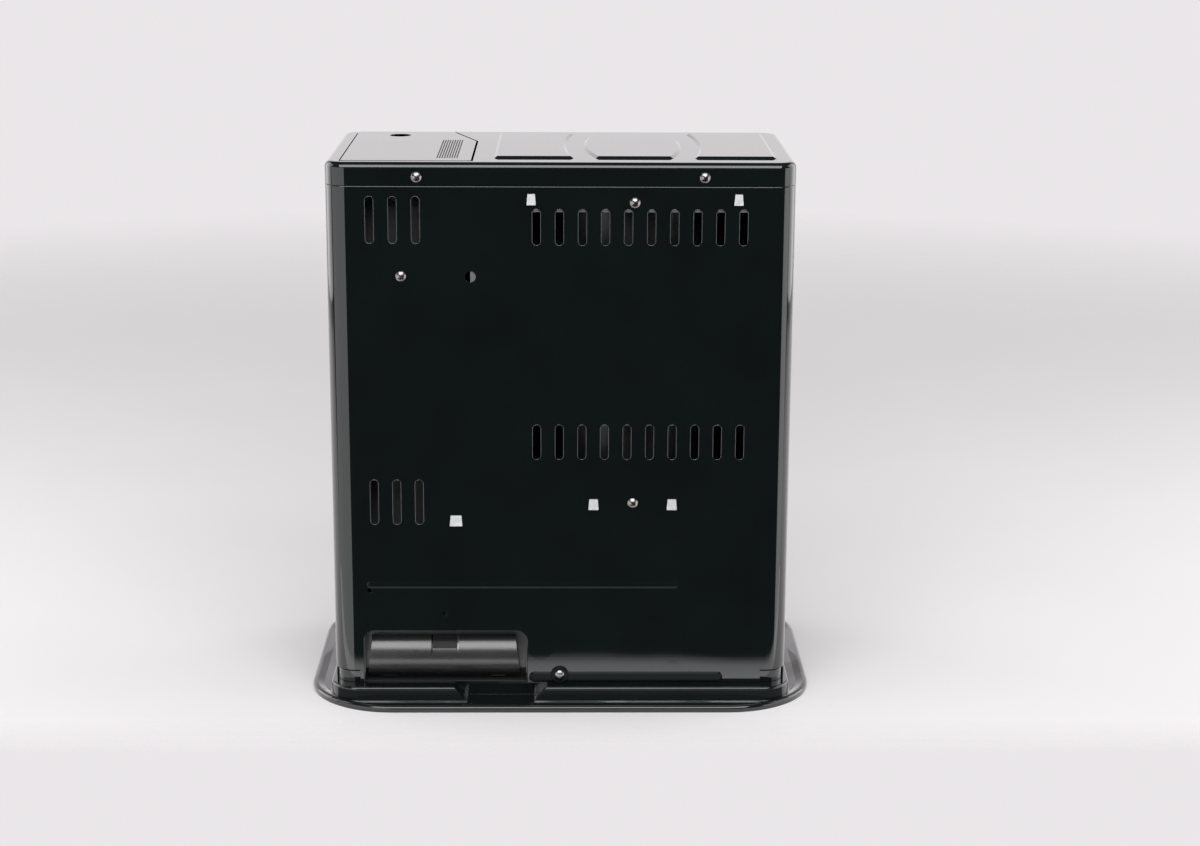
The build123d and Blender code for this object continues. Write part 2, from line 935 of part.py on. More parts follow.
def bay_plate(z, hole=0.0):
    """A sheet across the burner bay, with its back flange against the casing."""
    plate = block((bay_left, bay_right), (front_inside + window_flange, back_inside), (z, z + inner_sheet))
    if hole:
        plate -= rod("z", (burner_x, burner_y), (z - 1, z + 2), hole)
    return plate


def back_flange(x, z):
    return block(x, (back_inside - inner_sheet, back_inside), z)


def make_upper_shield():
    z = shield_height
    shield = bay_plate(z)
    shield += back_flange((bay_left, bay_right), (shield_screw_z - 8, z + inner_sheet))
    for side in (-1, 1):
        x = burner_x + side * upper_tab_half_spread
        shield += back_flange((x - 8, x + 8), (z, upper_tab_z + tab_length / 2))
        shield += tab_shape(x, upper_tab_z, upper_tab_width)
    front = front_inside + window_flange
    lip = block((bay_left, bay_right), (front, front + 1), (z, inner_top))
    y = (back_inside - 2, body_back)
    hole = rod("y", (burner_x, shield_screw_z), y, screw_radius + screw_clearance)
    return shield + lip - hole


def make_burner_deck():
    z = deck_height
    deck = bay_plate(z, deck_hole_radius)
    half = deck_flange_half
    deck += back_flange((burner_x - half, burner_x + half), (z, z + flange_lift))
    for side in (-1, 1):
        deck += tab_shape(burner_x + side * lower_tab_half_spread, lower_tab_z, lower_tab_width)
    hole = rod("y", (burner_x, deck_screw_z), (back_inside - 2, body_back), screw_radius + screw_clearance)
    return deck - hole


def reflector_curve(inset):
    """Half an ellipse in plan, open to the front, as a filled outline."""
    wide = reflector_half_width - inset
    deep = reflector_depth - inset
    shape = Ellipse(wide, deep)
    front = Pos(0, -deep) * Rectangle(4 * wide, 2 * deep)
    return Pos(burner_x, reflector_front) * (shape - front)


def make_reflector():
    bottom = deck_height + inner_sheet
    height = shield_height - bottom
    sheet_metal = reflector_curve(0) - reflector_curve(inner_sheet)
    reflector = Pos(0, 0, bottom) * extrude(sheet_metal, amount=height)
    front = reflector_front - inner_sheet
    for side in (-1, 1):
        edge = burner_x + side * reflector_half_width
        x = sorted((edge - side * inner_sheet, edge + side * 7.0))
        reflector += block(x, (front, reflector_front), (bottom, shield_height))
    return reflector


def make_partition():
    """The wall between the burner bay and the tank bay, galvanised, with one tab to the casing."""
    x = (partition_x, partition_x + inner_sheet)
    bottom = sump_top
    front = front_inside + 1
    wall = block(x, (front, back_inside), (bottom, inner_top))
    flange = (partition_x, partition_x + partition_flange + 1)
    wall += back_flange(flange, (partition_step_z, inner_top))
    ear_right = partition_tab_x + partition_tab_width / 2 + 3
    wall += back_flange((partition_x, ear_right), (partition_tab_z - 12, partition_tab_z + tab_length / 2))
    wall += tab_shape(partition_tab_x, partition_tab_z, partition_tab_width)
    foot_y = (partition_front_y, sump_back - 8)
    wall += block((partition_x, partition_x + 10), foot_y, (bottom, bottom + inner_sheet))
    across = (partition_x - 1, partition_x + 2)
    wall -= block(across, (front - 1, partition_front_y), (bottom - 1, partition_notch_z))
    return wall - block(across, (foot_y[1], back_inside + 1), (bottom - 1, partition_step_z))


def make_tank_guide():
    """A galvanised channel behind the cartridge tank, screwed to the casing."""
    z = (guide_screw_z - guide_height / 2, guide_screw_z + guide_height / 2)
    middle = (tank_left + tank_right) / 2
    x = (middle - guide_width / 2 + 6, middle + guide_width / 2)
    front = tank_back + guide_clearance
    guide = back_flange(x, z)
    for level in (z[0], z[1] - inner_sheet):
        guide += block(x, (front, back_inside), (level, level + inner_sheet))
    hole = rod("y", (guide_screw_x, guide_screw_z), (front, body_back), screw_radius + screw_clearance)
    return guide - hole


# Chassis plate, fixed tank and receiver


def make_chassis_plate():
    inset = sheet + joint_gap
    plate = Pos(0, 0, seat_height) * extrude(casing_outline(inset + corner_tuck), amount=chassis_sheet)
    flange_x = (boss_x - chassis_flange_right, boss_x + chassis_flange_left)
    plate += back_flange(flange_x, (seat_height, boss_z + 6))
    plate += block(flange_x, (back_inside - 4 - inset, back_inside), (seat_height, chassis_top))
    plate -= rod("z", (burner_x, burner_y), (seat_height - 1, chassis_top + 1), draft_radius + 3)
    hole = screw_radius + screw_clearance
    plate -= rod("y", (boss_x, boss_z), (back_inside - 3, body_back), hole)
    for x, y in sump_feet():
        plate += rod("z", (x, y), (chassis_top - 0.1, sump_bottom), sump_foot_radius)
    return plate


def sump_feet():
    inset = sump_radius + 4
    return [
        (x, y)
        for x in (sump_left + inset, sump_right - inset)
        for y in (sump_front + inset, sump_back - inset)
    ]


def sump_outline(grow):
    shape = RectangleRounded(
        sump_right - sump_left + 2 * grow, sump_back - sump_front + 2 * grow, sump_radius + grow
    )
    return Pos((sump_left + sump_right) / 2, (sump_front + sump_back) / 2) * shape


def make_sump():
    """Two pressed halves with a seam flange, open at the wick, the receiver and the float."""
    height = sump_top - sump_bottom
    sump = Pos(0, 0, sump_bottom) * extrude(sump_outline(0), amount=height)
    seam = (sump_top + sump_bottom) / 2 - seam_thickness / 2
    sump += Pos(0, 0, seam) * extrude(sump_outline(seam_flange), amount=seam_thickness)
    inside = extrude(sump_outline(-sump_wall), amount=height - 2 * sump_wall)
    sump -= Pos(0, 0, sump_bottom + sump_wall) * inside
    burner = (burner_x, burner_y)
    roof = (sump_top - 3, sump_top + 1)
    floor = (sump_bottom - 1, sump_bottom + 3)
    sump -= rod("z", burner, roof, tube_inner)
    sump -= rod("z", burner, floor, draft_radius + thread_clearance)
    sump -= rod("z", (receiver_x, receiver_y), roof, strainer_radius + 0.5)
    sump -= rod("z", (gauge_x, gauge_y), roof, gauge_rod_radius + 0.5)
    return sump


def make_receiver():
    """The cup on the fixed tank that the cartridge tank stands on, over the strainer."""
    at = (receiver_x, receiver_y)
    cup = tube("z", at, (sump_top, receiver_top), receiver_radius + 1.2, receiver_radius)
    foot = (sump_top, sump_top + 1.2)
    return cup + tube("z", at, foot, receiver_radius + 7, strainer_radius + 0.5)


def make_strainer():
    """The strainer basket that hangs in the receiver, with the pin that opens the tank's valve."""
    top = sump_top + 1.2
    bottom = sump_top - strainer_depth
    at = (receiver_x, receiver_y)
    inner = strainer_radius - 1
    basket = tube("z", at, (bottom, top + 1), strainer_radius, inner)
    basket += tube("z", at, (top, top + 1), receiver_radius - 0.4, inner)
    basket += rod("z", at, (bottom, bottom + 1), strainer_radius - 0.5)
    wall = (strainer_radius - 3, strainer_radius + 1)
    window = block(wall, (-2.5, 2.5), (bottom + 4, sump_top - 3))
    for index in range(12):
        basket -= Pos(receiver_x, receiver_y) * Rot(0, 0, index * 30) * window
    pin_top = tank_bottom - cap_height + valve_recess() - 0.3
    basket += rod("z", (receiver_x, receiver_y), (bottom, pin_top), valve_pin_radius)
    return basket


def valve_recess():
    """How far above the cap's mouth the valve plunger's foot sits when the pin holds it open."""
    return 5.0


# Cartridge tank


def tank_outline(inset):
    """The cartridge tank in plan: one corner cut off to follow the lid."""
    left = tank_left + inset
    right = tank_right - inset
    front = tank_front + inset
    back = tank_back - inset
    cut = tank_corner_cut - inset * 0.6
    slant = lid_corner_shift / (lid_corner_y - body_front)
    points = [
        (left, back),
        (left, front + cut),
        (left + cut * slant, front),
        (right, front),
        (right, back),
    ]
    shape = make_face(Polyline(*points, close=True))
    return fillet(shape.vertices(), tank_radius - inset)


def make_cartridge_tank():
    height = tank_top - tank_bottom
    outer = Pos(0, 0, tank_bottom) * extrude(tank_outline(0), amount=height)
    outer = chamfer(outer.faces().sort_by(Axis.Z)[-1].edges(), 4)
    inner = extrude(tank_outline(tank_wall), amount=height - 2 * tank_wall)
    inner = Pos(0, 0, tank_bottom + tank_wall) * inner
    inner = chamfer(inner.faces().sort_by(Axis.Z)[-1].edges(), 4)
    tank = outer
    for z in (0.3, 0.7):
        level = tank_bottom + height * z
        band = Pos(0, 0, level - 3) * extrude(tank_outline(-1.0), amount=6)
        tank += band
    tank -= inner
    at = (receiver_x, receiver_y)
    tank += rod("z", at, (tank_bottom - neck_height, tank_bottom + tank_wall), neck_radius)
    tank -= rod("z", at, (tank_bottom - neck_height - 1, tank_bottom + tank_wall + 1), neck_radius - 1.5)
    pivot = (bail_y, tank_top + bail_pivot_lift)
    for x in bail_ears():
        tank += block((x - 1, x + 1), (bail_y - 5, bail_y + 5), (tank_top - 1, pivot[1]))
        tank += rod("x", pivot, (x - 1, x + 1), 5)
        tank -= rod("x", pivot, (x - 2, x + 2), bail_wire_radius + pin_clearance)
    return tank


def bail_ears():
    middle = (tank_left + tank_right) / 2
    return (middle - bail_span / 2, middle + bail_span / 2)


def make_bail():
    """The tank's wire handle, folded down flat towards the front, with its ends in the two ears."""
    left, right = bail_ears()
    z = tank_top + bail_pivot_lift
    end = bail_wire_radius + 3.5
    points = [
        (left + 3.0, bail_y, z),
        (left - end, bail_y, z),
        (left - end, bail_y - bail_reach, z),
        (right + end, bail_y - bail_reach, z),
        (right + end, bail_y, z),
        (right - 3.0, bail_y, z),
    ]
    path = FilletPolyline(*points, radius=bail_wire_radius + 1.2)
    section = Plane(origin=points[0], z_dir=(-1, 0, 0)) * Circle(bail_wire_radius)
    wire = sweep(section, path)
    middle = (left + right) / 2
    grip = rod("x", (bail_y - bail_reach, z), (middle - 24, middle + 24), bail_wire_radius + 1.4)
    return wire + grip


def make_tank_cap():
    """Screwed on the tank's neck at its underside; the valve sits in its middle."""
    at = (receiver_x, receiver_y)
    bottom = tank_bottom - cap_height
    inner = neck_radius + thread_clearance
    cap = tube("z", at, (bottom, tank_bottom - 0.4), cap_radius, inner)
    cap += tube("z", at, (bottom, bottom + cap_wall), cap_radius, plunger_radius + pin_clearance)
    cap += tube("z", at, (bottom, bottom + 7), plunger_radius + 2, plunger_radius + pin_clearance)
    for index in range(16):
        flute = rod("z", (cap_radius + 0.8, 0), (bottom - 1, tank_bottom - 4), 1.6)
        cap -= Pos(receiver_x, receiver_y) * Rot(0, 0, index * 22.5) * flute
    return cap


def make_cap_gasket():
    at = (receiver_x, receiver_y)
    top = tank_bottom - neck_height
    return tube("z", at, (top - 2.0, top - 0.1), neck_radius - 0.3, plunger_radius + 3)


def make_valve_plunger():
    at = (receiver_x, receiver_y)
    foot = tank_bottom - cap_height + valve_recess()
    stem = rod("z", at, (foot, tank_bottom + 2), plunger_radius)
    disc_z = tank_bottom - cap_height + 7 + plunger_drop + 0.3
    return stem + rod("z", at, (disc_z, disc_z + 2.0), plunger_radius + 2.5)


# Wick and its lifting gear


def make_draft_tube():
    at = (burner_x, burner_y)
    return tube("z", at, (sump_bottom - 1, seat_plate_z + 4), draft_radius, draft_radius - draft_wall)


def make_wick_tube():
    """Outer tube round the wick, with its mounting flange and the slot for the rack."""
    at = (burner_x, burner_y)
    outer = tube("z", at, (sump_top, seat_plate_z), tube_outer, tube_inner)
    outer += tube("z", at, (sump_top, sump_top + 1.5), flange_radius, tube_inner)
    half = rack_width / 2 + 1.5
    slot = block(
        (burner_x + tube_inner - 4, burner_x + tube_outer + 3),
        (burner_y - half, burner_y + half),
        (sump_top + 2.5, seat_plate_z - 12),
    )
    outer -= slot
    for x, y in flange_bolts():
        outer -= rod("z", (x, y), (sump_top - 1, sump_top + 3), 2.1)
    return outer


def flange_bolts():
    radius = (flange_radius + tube_outer) / 2
    bolts = []
    for angle in (45, 135, 225, 315):
        turn = math.radians(angle)
        bolts.append((burner_x + radius * math.cos(turn), burner_y + radius * math.sin(turn)))
    return bolts


def make_flange_nuts():
    """Nuts and studs that hold the wick tube's flange on the fixed tank."""
    nuts = Part()
    base = sump_top + 1.5
    for x, y in flange_bolts():
        nut = extrude(RegularPolygon(4.2, 6), amount=3.2)
        stud = rod("z", (0, 0), (-1.5, 6.0), 2.0)
        nuts += Pos(x, y, base) * (nut + stud)
    return nuts


def make_burner_seat():
    at = (burner_x, burner_y)
    seat = tube("z", at, (seat_plate_z, seat_plate_z + 1.2), seat_plate_radius, tube_inner)
    seat += tube("z", at, (seat_plate_z, seat_plate_z + 4.5), seat_plate_radius, seat_plate_radius - 1.2)
    seat += tube("z", at, (seat_plate_z - 6, seat_plate_z), tube_outer + 1.2, tube_outer + 0.1)
    return seat - igniter_notch(seat_plate_z - 8, seat_plate_z + 6, 9.0)


def igniter_notch(low, high, half):
    """Room for the igniter at the front of the burner."""
    return block(
        (igniter_x - half, igniter_x + half),
        (burner_y - seat_plate_radius - 4, burner_y - tube_outer - 0.5),
        (low, high),
    )


def make_wick():
    at = (burner_x, burner_y)
    return tube("z", at, (wick_bottom, wick_tip), wick_outer, wick_inner)


def make_wick_sleeve():
    """Metal sleeve that grips the wick, with the rack on its right side."""
    at = (burner_x, burner_y)
    sleeve = tube("z", at, (sleeve_bottom, sleeve_top), sleeve_outer, wick_outer)
    return sleeve + make_rack()


def rack_span():
    pitch = math.pi * gear_module
    length = rack_teeth * pitch
    middle = shaft_z - wick_travel / 2
    return middle - length / 2, pitch


def make_rack():
    """Straight rack whose teeth point to +X; one tooth space faces the pinion at rest."""
    start, pitch = rack_span()
    root = rack_root
    pressure = math.tan(math.radians(20))
    half = pitch / 4 - mesh_backlash / 2
    line = root + dedendum
    points = [(sleeve_outer - 0.6, start)]
    count = rack_teeth
    offset = shaft_z - round((shaft_z - start) / pitch - 0.5) * pitch - pitch / 2
    points.append((root, start))
    centre = offset
    teeth = []
    while centre < start + count * pitch - pitch / 2:
        if centre > start + pitch / 2:
            teeth.append(centre)
        centre += pitch
    for middle in teeth:
        points.append((root, middle - half - dedendum * pressure))
        points.append((line + addendum, middle - half + addendum * pressure))
        points.append((line + addendum, middle + half - addendum * pressure))
        points.append((root, middle + half + dedendum * pressure))
    end = start + count * pitch
    points.append((root, end))
    points.append((sleeve_outer - 0.6, end))
    profile = make_face(Polyline(*points, close=True))
    y = (burner_y - rack_width / 2, burner_y + rack_width / 2)
    return through(profile, y, burner_x)


def involute_tooth(radius):
    """Half angle of a pinion tooth at a radius, measured from its middle."""
    pressure = math.radians(20)
    base = pitch_radius * math.cos(pressure)
    at_pitch = (math.pi / 2 - mesh_backlash / gear_module) / pinion_teeth
    flare = math.tan(pressure) - pressure
    angle = math.acos(base / radius)
    return at_pitch + flare - (math.tan(angle) - angle)


def make_pinion():
    """Twelve involute teeth in mesh with the rack, fixed on the wick shaft."""
    base = pitch_radius * math.cos(math.radians(20))
    root = pitch_radius - dedendum
    tip = pitch_radius + addendum
    radii = [max(base, root) + 0.01 + (tip - max(base, root)) * step / 4 for step in range(5)]
    radii[-1] = tip
    points = []
    for tooth in range(pinion_teeth):
        middle = math.pi + 2 * math.pi * tooth / pinion_teeth
        flank = [(radius, involute_tooth(radius)) for radius in radii]
        first = [(root, flank[0][1])] + flank
        for radius, half in first:
            points.append((radius * math.cos(middle - half), radius * math.sin(middle - half)))
        for radius, half in reversed(first):
            points.append((radius * math.cos(middle + half), radius * math.sin(middle + half)))
    profile = make_face(Polyline(*points, close=True))
    y = (burner_y - rack_width / 2 - 0.5, burner_y + rack_width / 2 + 0.5)
    gear = through(profile, y, shaft_x, shaft_z)
    return gear - rod("y", (shaft_x, shaft_z), (y[0] - 1, y[1] + 1), shaft_radius)


def shaft_back():
    return burner_y + rack_width / 2 + 4


def make_wick_shaft():
    front = panel_front - knob_gap - knob_length + 4
    return rod("y", (shaft_x, shaft_z), (front, shaft_back()), shaft_radius)


def make_ratchet_wheel():
    """Saw-toothed wheel that the release lever lets go."""
    points = []
    for tooth in range(ratchet_teeth):
        start = 2 * math.pi * tooth / ratchet_teeth
        points.append((ratchet_radius * math.cos(start), ratchet_radius * math.sin(start)))
        low = ratchet_radius - 2.2
        points.append((low * math.cos(start + 0.02), low * math.sin(start + 0.02)))
    profile = make_face(Polyline(*points, close=True))
    wheel = through(profile, (ratchet_y, ratchet_y + 2), shaft_x, shaft_z)
    wheel += rod("y", (shaft_x, shaft_z), (ratchet_y, ratchet_y + 6), shaft_radius + 2.5)
    return wheel - rod("y", (shaft_x, shaft_z), (ratchet_y - 1, ratchet_y + 7), shaft_radius)


def make_knob():
    """A fluted dial knob pushed on the shaft's end, with a pointer ridge."""
    back = panel_front - knob_gap
    front = back - knob_length
    at = (shaft_x, shaft_z)
    knob = rod("y", at, (front + 3, back), knob_radius - 2.5)
    knob = fillet(knob.edges().filter_by(GeomType.CIRCLE).sort_by(Axis.Y)[0], 2.5)
    knob += rod("y", at, (back - 5, back), knob_radius)
    for index in range(18):
        flute = rod("y", (knob_radius - 1.9, 0), (front - 1, back - 5), 1.4)
        knob -= Pos(shaft_x, 0, shaft_z) * Rot(0, index * 20, 0) * flute
    ridge = knob_radius - 4
    knob += block((shaft_x - 3, shaft_x + 3), (front, back - 4), (shaft_z - ridge, shaft_z + ridge))
    return knob - rod("y", at, (front + 4, back + 1), shaft_radius)


def make_return_spring():
    """Torsion spring round the wick shaft, behind the bracket; its turns never touch."""
    helix = Helix(spring_pitch, spring_pitch * spring_turns, spring_radius)
    section = Plane(origin=helix @ 0, z_dir=helix % 0) * Circle(spring_wire)
    coil = sweep(section, helix)
    start = bracket_y + bracket_sheet / 2 + spring_wire + 0.4
    least = spring_pitch - 2 * spring_wire
    print("return spring: least gap between turns", round(least, 2))
    return Pos(shaft_x, start, shaft_z) * Rot(-90, 0, 0) * coil


def make_mechanism_bracket():
    """Upright plate on the fixed tank that carries the shaft, the levers and the button."""
    y = (bracket_y - bracket_sheet / 2, bracket_y + bracket_sheet / 2)
    x = (shaft_x - 22, button_x + 14)
    plate = block(x, y, (sump_top, shaft_z + 22))
    plate += block((2.0, button_x + 14), (y[0], y[1] + 11), (sump_top, sump_top + 1.2))
    at = (shaft_x, shaft_z)
    plate += tube("y", at, (y[0] - 2, y[1]), shaft_radius + 3, shaft_radius)
    plate -= rod("y", at, (y[0] - 3, y[1] + 1), shaft_radius + bearing_clearance)
    plate -= rod("y", (button_x, shaft_z), (y[0] - 1, y[1] + 1), 3 + 0.1)
    return plate


# Controls


def panel_screws():
    inset = 4.0
    return [
        (x, z)
        for x in (panel_left + inset, panel_right - inset)
        for z in (panel_bottom + 10, panel_top - 10)
    ]


def make_control_panel():
    """The lower front panel: rounded, dished round the knob, with its openings."""
    shape = RectangleRounded(panel_right - panel_left, panel_top - panel_bottom, panel_radius)
    x = (panel_left + panel_right) / 2
    z = (panel_top + panel_bottom) / 2
    panel = through(shape, (panel_front, body_front), x, z)
    panel = chamfer(panel.faces().sort_by(Axis.Y)[0].edges(), 1.2)
    dish = rod("y", (shaft_x, shaft_z), (panel_front - 1, panel_front + 1.2), knob_radius + 5)
    panel = panel - dish
    y = (panel_front - 1, body_front + 1)
    panel -= rod("y", (shaft_x, shaft_z), y, shaft_radius + 0.6)
    panel -= rod("y", (button_x, shaft_z), y, button_radius + button_clearance)
    lever = SlotOverall(lever_slot_height, lever_slot_width, rotation=90)
    panel -= through(lever, y, lever_x, lever_slot_z)
    window = RectangleRounded(gauge_window_width, gauge_window_height, 3)
    panel -= through(window, y, gauge_x, gauge_z)
    for at in panel_screws():
        panel -= rod("y", at, y, screw_radius + screw_clearance)
    return panel


def make_gauge_window():
    inner = RectangleRounded(gauge_window_width - 0.2, gauge_window_height - 0.2, 2.9)
    flange = RectangleRounded(gauge_window_width + 5, gauge_window_height + 5, 5)
    lens = through(inner, (panel_front + 0.6, body_front), gauge_x, gauge_z)
    return lens + through(flange, (body_front, body_front + 1.4), gauge_x, gauge_z)


def make_gauge_float():
    """Float disc in the fixed tank, its rod and the flag behind the panel's window."""
    at = (gauge_x, gauge_y)
    low = sump_bottom + sump_wall + 0.3
    top = gauge_z + gauge_window_height / 2 - gauge_travel
    float_body = rod("z", at, (low, low + float_height), float_radius)
    float_body += rod("z", at, (low, top), gauge_rod_radius)
    flag_low = gauge_z - gauge_window_height / 2 + 1
    flag_y = body_front + 3.5
    flag = block((gauge_x - 5, gauge_x + 5), (flag_y, flag_y + 1), (flag_low, flag_low + 12))
    arm = block((gauge_x - 1.5, gauge_x + 1.5), (flag_y + 0.5, gauge_y), (flag_low + 8, flag_low + 10))
    return float_body + flag + arm


def make_extinguish_button():
    front = panel_front - button_proud
    cap = rod("y", (button_x, shaft_z), (front, body_front + button_proud), button_radius)
    cap = fillet(cap.faces().sort_by(Axis.Y)[0].edges(), 1.5)
    return cap


def make_button_stem():
    """Rod behind the button, with the collar that pushes the release lever's end."""
    start = body_front + button_proud
    at = (button_x, shaft_z)
    stem = rod("y", at, (start, bracket_y + bracket_sheet / 2 + 2), 3.0)
    face = release_y() - 1.0 - 0.3
    return stem + rod("y", at, (face - 2.0, face), 6.0)


def release_y():
    return bracket_y - bracket_sheet / 2 - 8


def make_release_lever():
    """Lever that turns the button's push into the pawl's retreat from the ratchet wheel."""
    y = release_y()
    bar = block(
        (shaft_x + ratchet_radius + 0.5, button_x - 3.4),
        (y - 1.0, y + 1.0),
        (shaft_z - 4, shaft_z + 4),
    )
    tip = block(
        (shaft_x + ratchet_radius + 0.5, shaft_x + ratchet_radius + 3.5),
        (ratchet_y, y + 1.0),
        (shaft_z - 4, shaft_z + 4),
    )
    boss = rod("z", (release_pivot_x, y), (shaft_z - 6, shaft_z + 6), release_bar_half + 1)
    lever = bar + tip + boss
    return lever - rod("z", (release_pivot_x, y), (shaft_z - 7, shaft_z + 7), 1.5 + bearing_clearance)


def make_release_pin():
    y = release_y()
    pin = rod("z", (release_pivot_x, y), (shaft_z - 9, shaft_z + 9), 1.5)
    x = (release_pivot_x - 3, release_pivot_x + 3)
    for low in (shaft_z - 9, shaft_z + 6.5):
        pin += block(x, (y - 3, bracket_y - bracket_sheet / 2), (low, low + 2.5))
    return pin


def make_ignition_lever():
    """Finger lever in the panel's slot with its cross shaft, which also swings the igniter."""
    at = (lever_pivot_y, lever_pivot_z)
    shaft = rod("x", at, (igniter_x - 6, lever_x + 10), lever_shaft_radius)
    z = (lever_pivot_z - 2.5, lever_pivot_z + 2.5)
    arm = block((lever_x - 2, lever_x + 2), (lever_pivot_y - lever_arm, lever_pivot_y), z)
    boss = rod("x", at, (lever_x - 4, lever_x + 4), lever_shaft_radius + 2.5)
    return shaft + arm + boss


def make_lever_cap():
    """Plastic finger cap on the ignition lever's end."""
    back = lever_pivot_y - lever_cap_start
    y = (back - lever_cap_length, back)
    cap = block((lever_x - 8, lever_x + 8), y, (lever_pivot_z - 5, lever_pivot_z + 5))
    cap = fillet(cap.edges().filter_by(Axis.X), 2.0)
    z = (lever_pivot_z - 2.5, lever_pivot_z + 2.5)
    return cap - block((lever_x - 2, lever_x + 2), (lever_pivot_y - lever_arm, back + 1), z)


def make_lever_bearings():
    """Two bearing ears that carry the cross shaft in front of the mechanism bracket."""
    at = (lever_pivot_y, lever_pivot_z)
    y = (lever_pivot_y - 6, bracket_y - bracket_sheet / 2)
    z = (shaft_z + 8, lever_pivot_z + 6)
    ears = Part()
    for x in (igniter_x + 12, lever_x - 10):
        ear = block((x - 1, x + 1), y, z)
        ears += ear - rod("x", at, (x - 2, x + 2), lever_shaft_radius + bearing_clearance)
    return ears


def on_igniter(shape):
    """Places a shape drawn on the igniter's own line, which droops from the cross shaft."""
    return Pos(igniter_x, lever_pivot_y, lever_pivot_z) * Rot(-igniter_droop, 0, 0) * shape


def make_igniter_holder():
    """Arm from the cross shaft towards the wick, ending in the coil's socket."""
    hub = tube("x", (0, 0), (-5, 5), lever_shaft_radius + 2, lever_shaft_radius)
    arm = block((-2, 2), (lever_shaft_radius + 1, igniter_reach - 10), (-2, 2))
    socket = rod("y", (0, 0), (igniter_reach - igniter_socket, igniter_reach - 5), 4)
    return on_igniter(hub + arm + socket)


def make_igniter_coil():
    """The glow wire: a small helix between two thicker legs in the socket."""
    helix = Helix(1.4, 5.6, igniter_coil_radius)
    section = Plane(origin=helix @ 0, z_dir=helix % 0) * Circle(0.4)
    coil = Pos(-2.8, igniter_reach, 0) * Rot(0, 90, 0) * sweep(section, helix)
    y = (igniter_reach - 5, igniter_reach + 0.3)
    wire = Part() + coil
    for x in (-2.8, 2.8):
        wire += rod("y", (x, -igniter_coil_radius), y, 0.65)
    return on_igniter(wire)


# Tip-over trip


def make_trip_seat():
    """Fixed cup on the fixed tank that the tip-over weight stands in."""
    at = (trip_x, trip_y)
    seat = rod("z", at, (sump_top, sump_top + 1.5), 17)
    seat += tube("z", at, (sump_top, sump_top + 6), 9, 6)
    return seat - trip_pin(trip_pin_half + 1, trip_pin_radius + bearing_clearance)


def trip_foot_z():
    """Height of the ball foot's middle, about which the weight leans."""
    return sump_top + 1.5 + 4.6


def trip_pin(half, radius):
    """The pin through the ball foot that lies in the cup's two grooves."""
    return rod("y", (trip_x, trip_foot_z()), (trip_y - half, trip_y + half), radius)


def make_trip_weight():
    """Top-heavy weight on a ball foot, which leans over and trips the wick when the heater is knocked."""
    at = (trip_x, trip_y)
    foot = trip_foot_z()
    weight = Pos(trip_x, trip_y, foot) * Sphere(4.5)
    weight += rod("z", at, (foot, foot + 10), 3) + trip_pin(trip_pin_half, trip_pin_radius)
    body = rod("z", at, (foot + 10, foot + 30), 12)
    return weight + chamfer(body.edges().filter_by(GeomType.CIRCLE), 2)


# Burner


def burner_bottom():
    return seat_plate_z + 1.2 + burner_floor_gap


def make_burner_base():
    """Ring that stands on the burner seat and carries the flame tubes and the glass."""
    at = (burner_x, burner_y)
    low = burner_bottom()
    base = tube("z", at, (low, low + 1.2), seat_plate_radius - 3, flame_outer_radius)
    base += tube("z", at, (low, low + base_height), seat_plate_radius - 2.2, seat_plate_radius - 3.2)
    notch = block(
        (igniter_x - swivel_notch_half, igniter_x + swivel_notch_half),
        (burner_y - seat_plate_radius - 2, burner_y - tube_outer),
        (low - 1, low + 14),
    )
    base -= notch
    for index in range(18):
        hole = rod("x", (0, low + 20), (seat_plate_radius - 6, seat_plate_radius), 2.2)
        base -= Pos(burner_x, burner_y) * Rot(0, 0, index * 20 + 10) * hole
    return base


def flame_slots(radius, low, top, rows):
    """Rows of upright slots through a flame tube, each row turned half a step."""
    step = 360 / flame_slot_count
    rise = (top - low) / rows
    cut = extrude(SlotOverall(flame_slot_length, flame_slot_width), amount=8)
    cut = Rot(0, 90, 0) * Pos(0, 0, -4) * cut
    slots = []
    for row in range(rows):
        for index in range(flame_slot_count):
            turn = step * (index + row % 2 / 2)
            z = low + rise * (row + 0.5)
            slots.append(Pos(burner_x, burner_y) * Rot(0, 0, turn) * Pos(radius, 0, z) * cut)
    return Part() + slots


def make_outer_flame_tube():
    at = (burner_x, burner_y)
    low = burner_bottom()
    inner = flame_outer_radius - flame_tube_wall
    flame = tube("z", at, (low, flame_tube_top), flame_outer_radius, inner)
    flame -= igniter_notch(low - 1, low + 14, swivel_notch_half)
    flame -= cross_pin_holes()
    return flame - flame_slots(flame_outer_radius, low + 16, flame_tube_top - 6, flame_slot_rows)


def make_inner_flame_tube():
    """Closed at the top by a dished cap, with holes that feed air to the flame."""
    at = (burner_x, burner_y)
    low = seat_plate_z + 5
    top = flame_tube_top - 2
    inner = flame_inner_radius - flame_tube_wall
    flame = tube("z", at, (low, top), flame_inner_radius, inner)
    flame += rod("z", at, (top - 1.0, top), flame_inner_radius)
    flame -= cross_pin_holes()
    return flame - flame_slots(flame_inner_radius, low + 10, top - 6, 3)


def make_cross_pins():
    """Two thin rods that hang the inner flame tube in the outer one."""
    z = flame_tube_top - cross_pin_drop
    half = flame_outer_radius + 1.5
    inner = flame_inner_radius - flame_tube_wall
    left = rod("x", (burner_y, z), (burner_x - half, burner_x - inner), cross_pin_radius)
    right = rod("x", (burner_y, z), (burner_x + inner, burner_x + half), cross_pin_radius)
    return left + right


def cross_pin_holes():
    z = flame_tube_top - cross_pin_drop
    reach = flame_outer_radius + 5
    radius = cross_pin_radius + pin_clearance
    return rod("x", (burner_y, z), (burner_x - reach, burner_x + reach), radius)


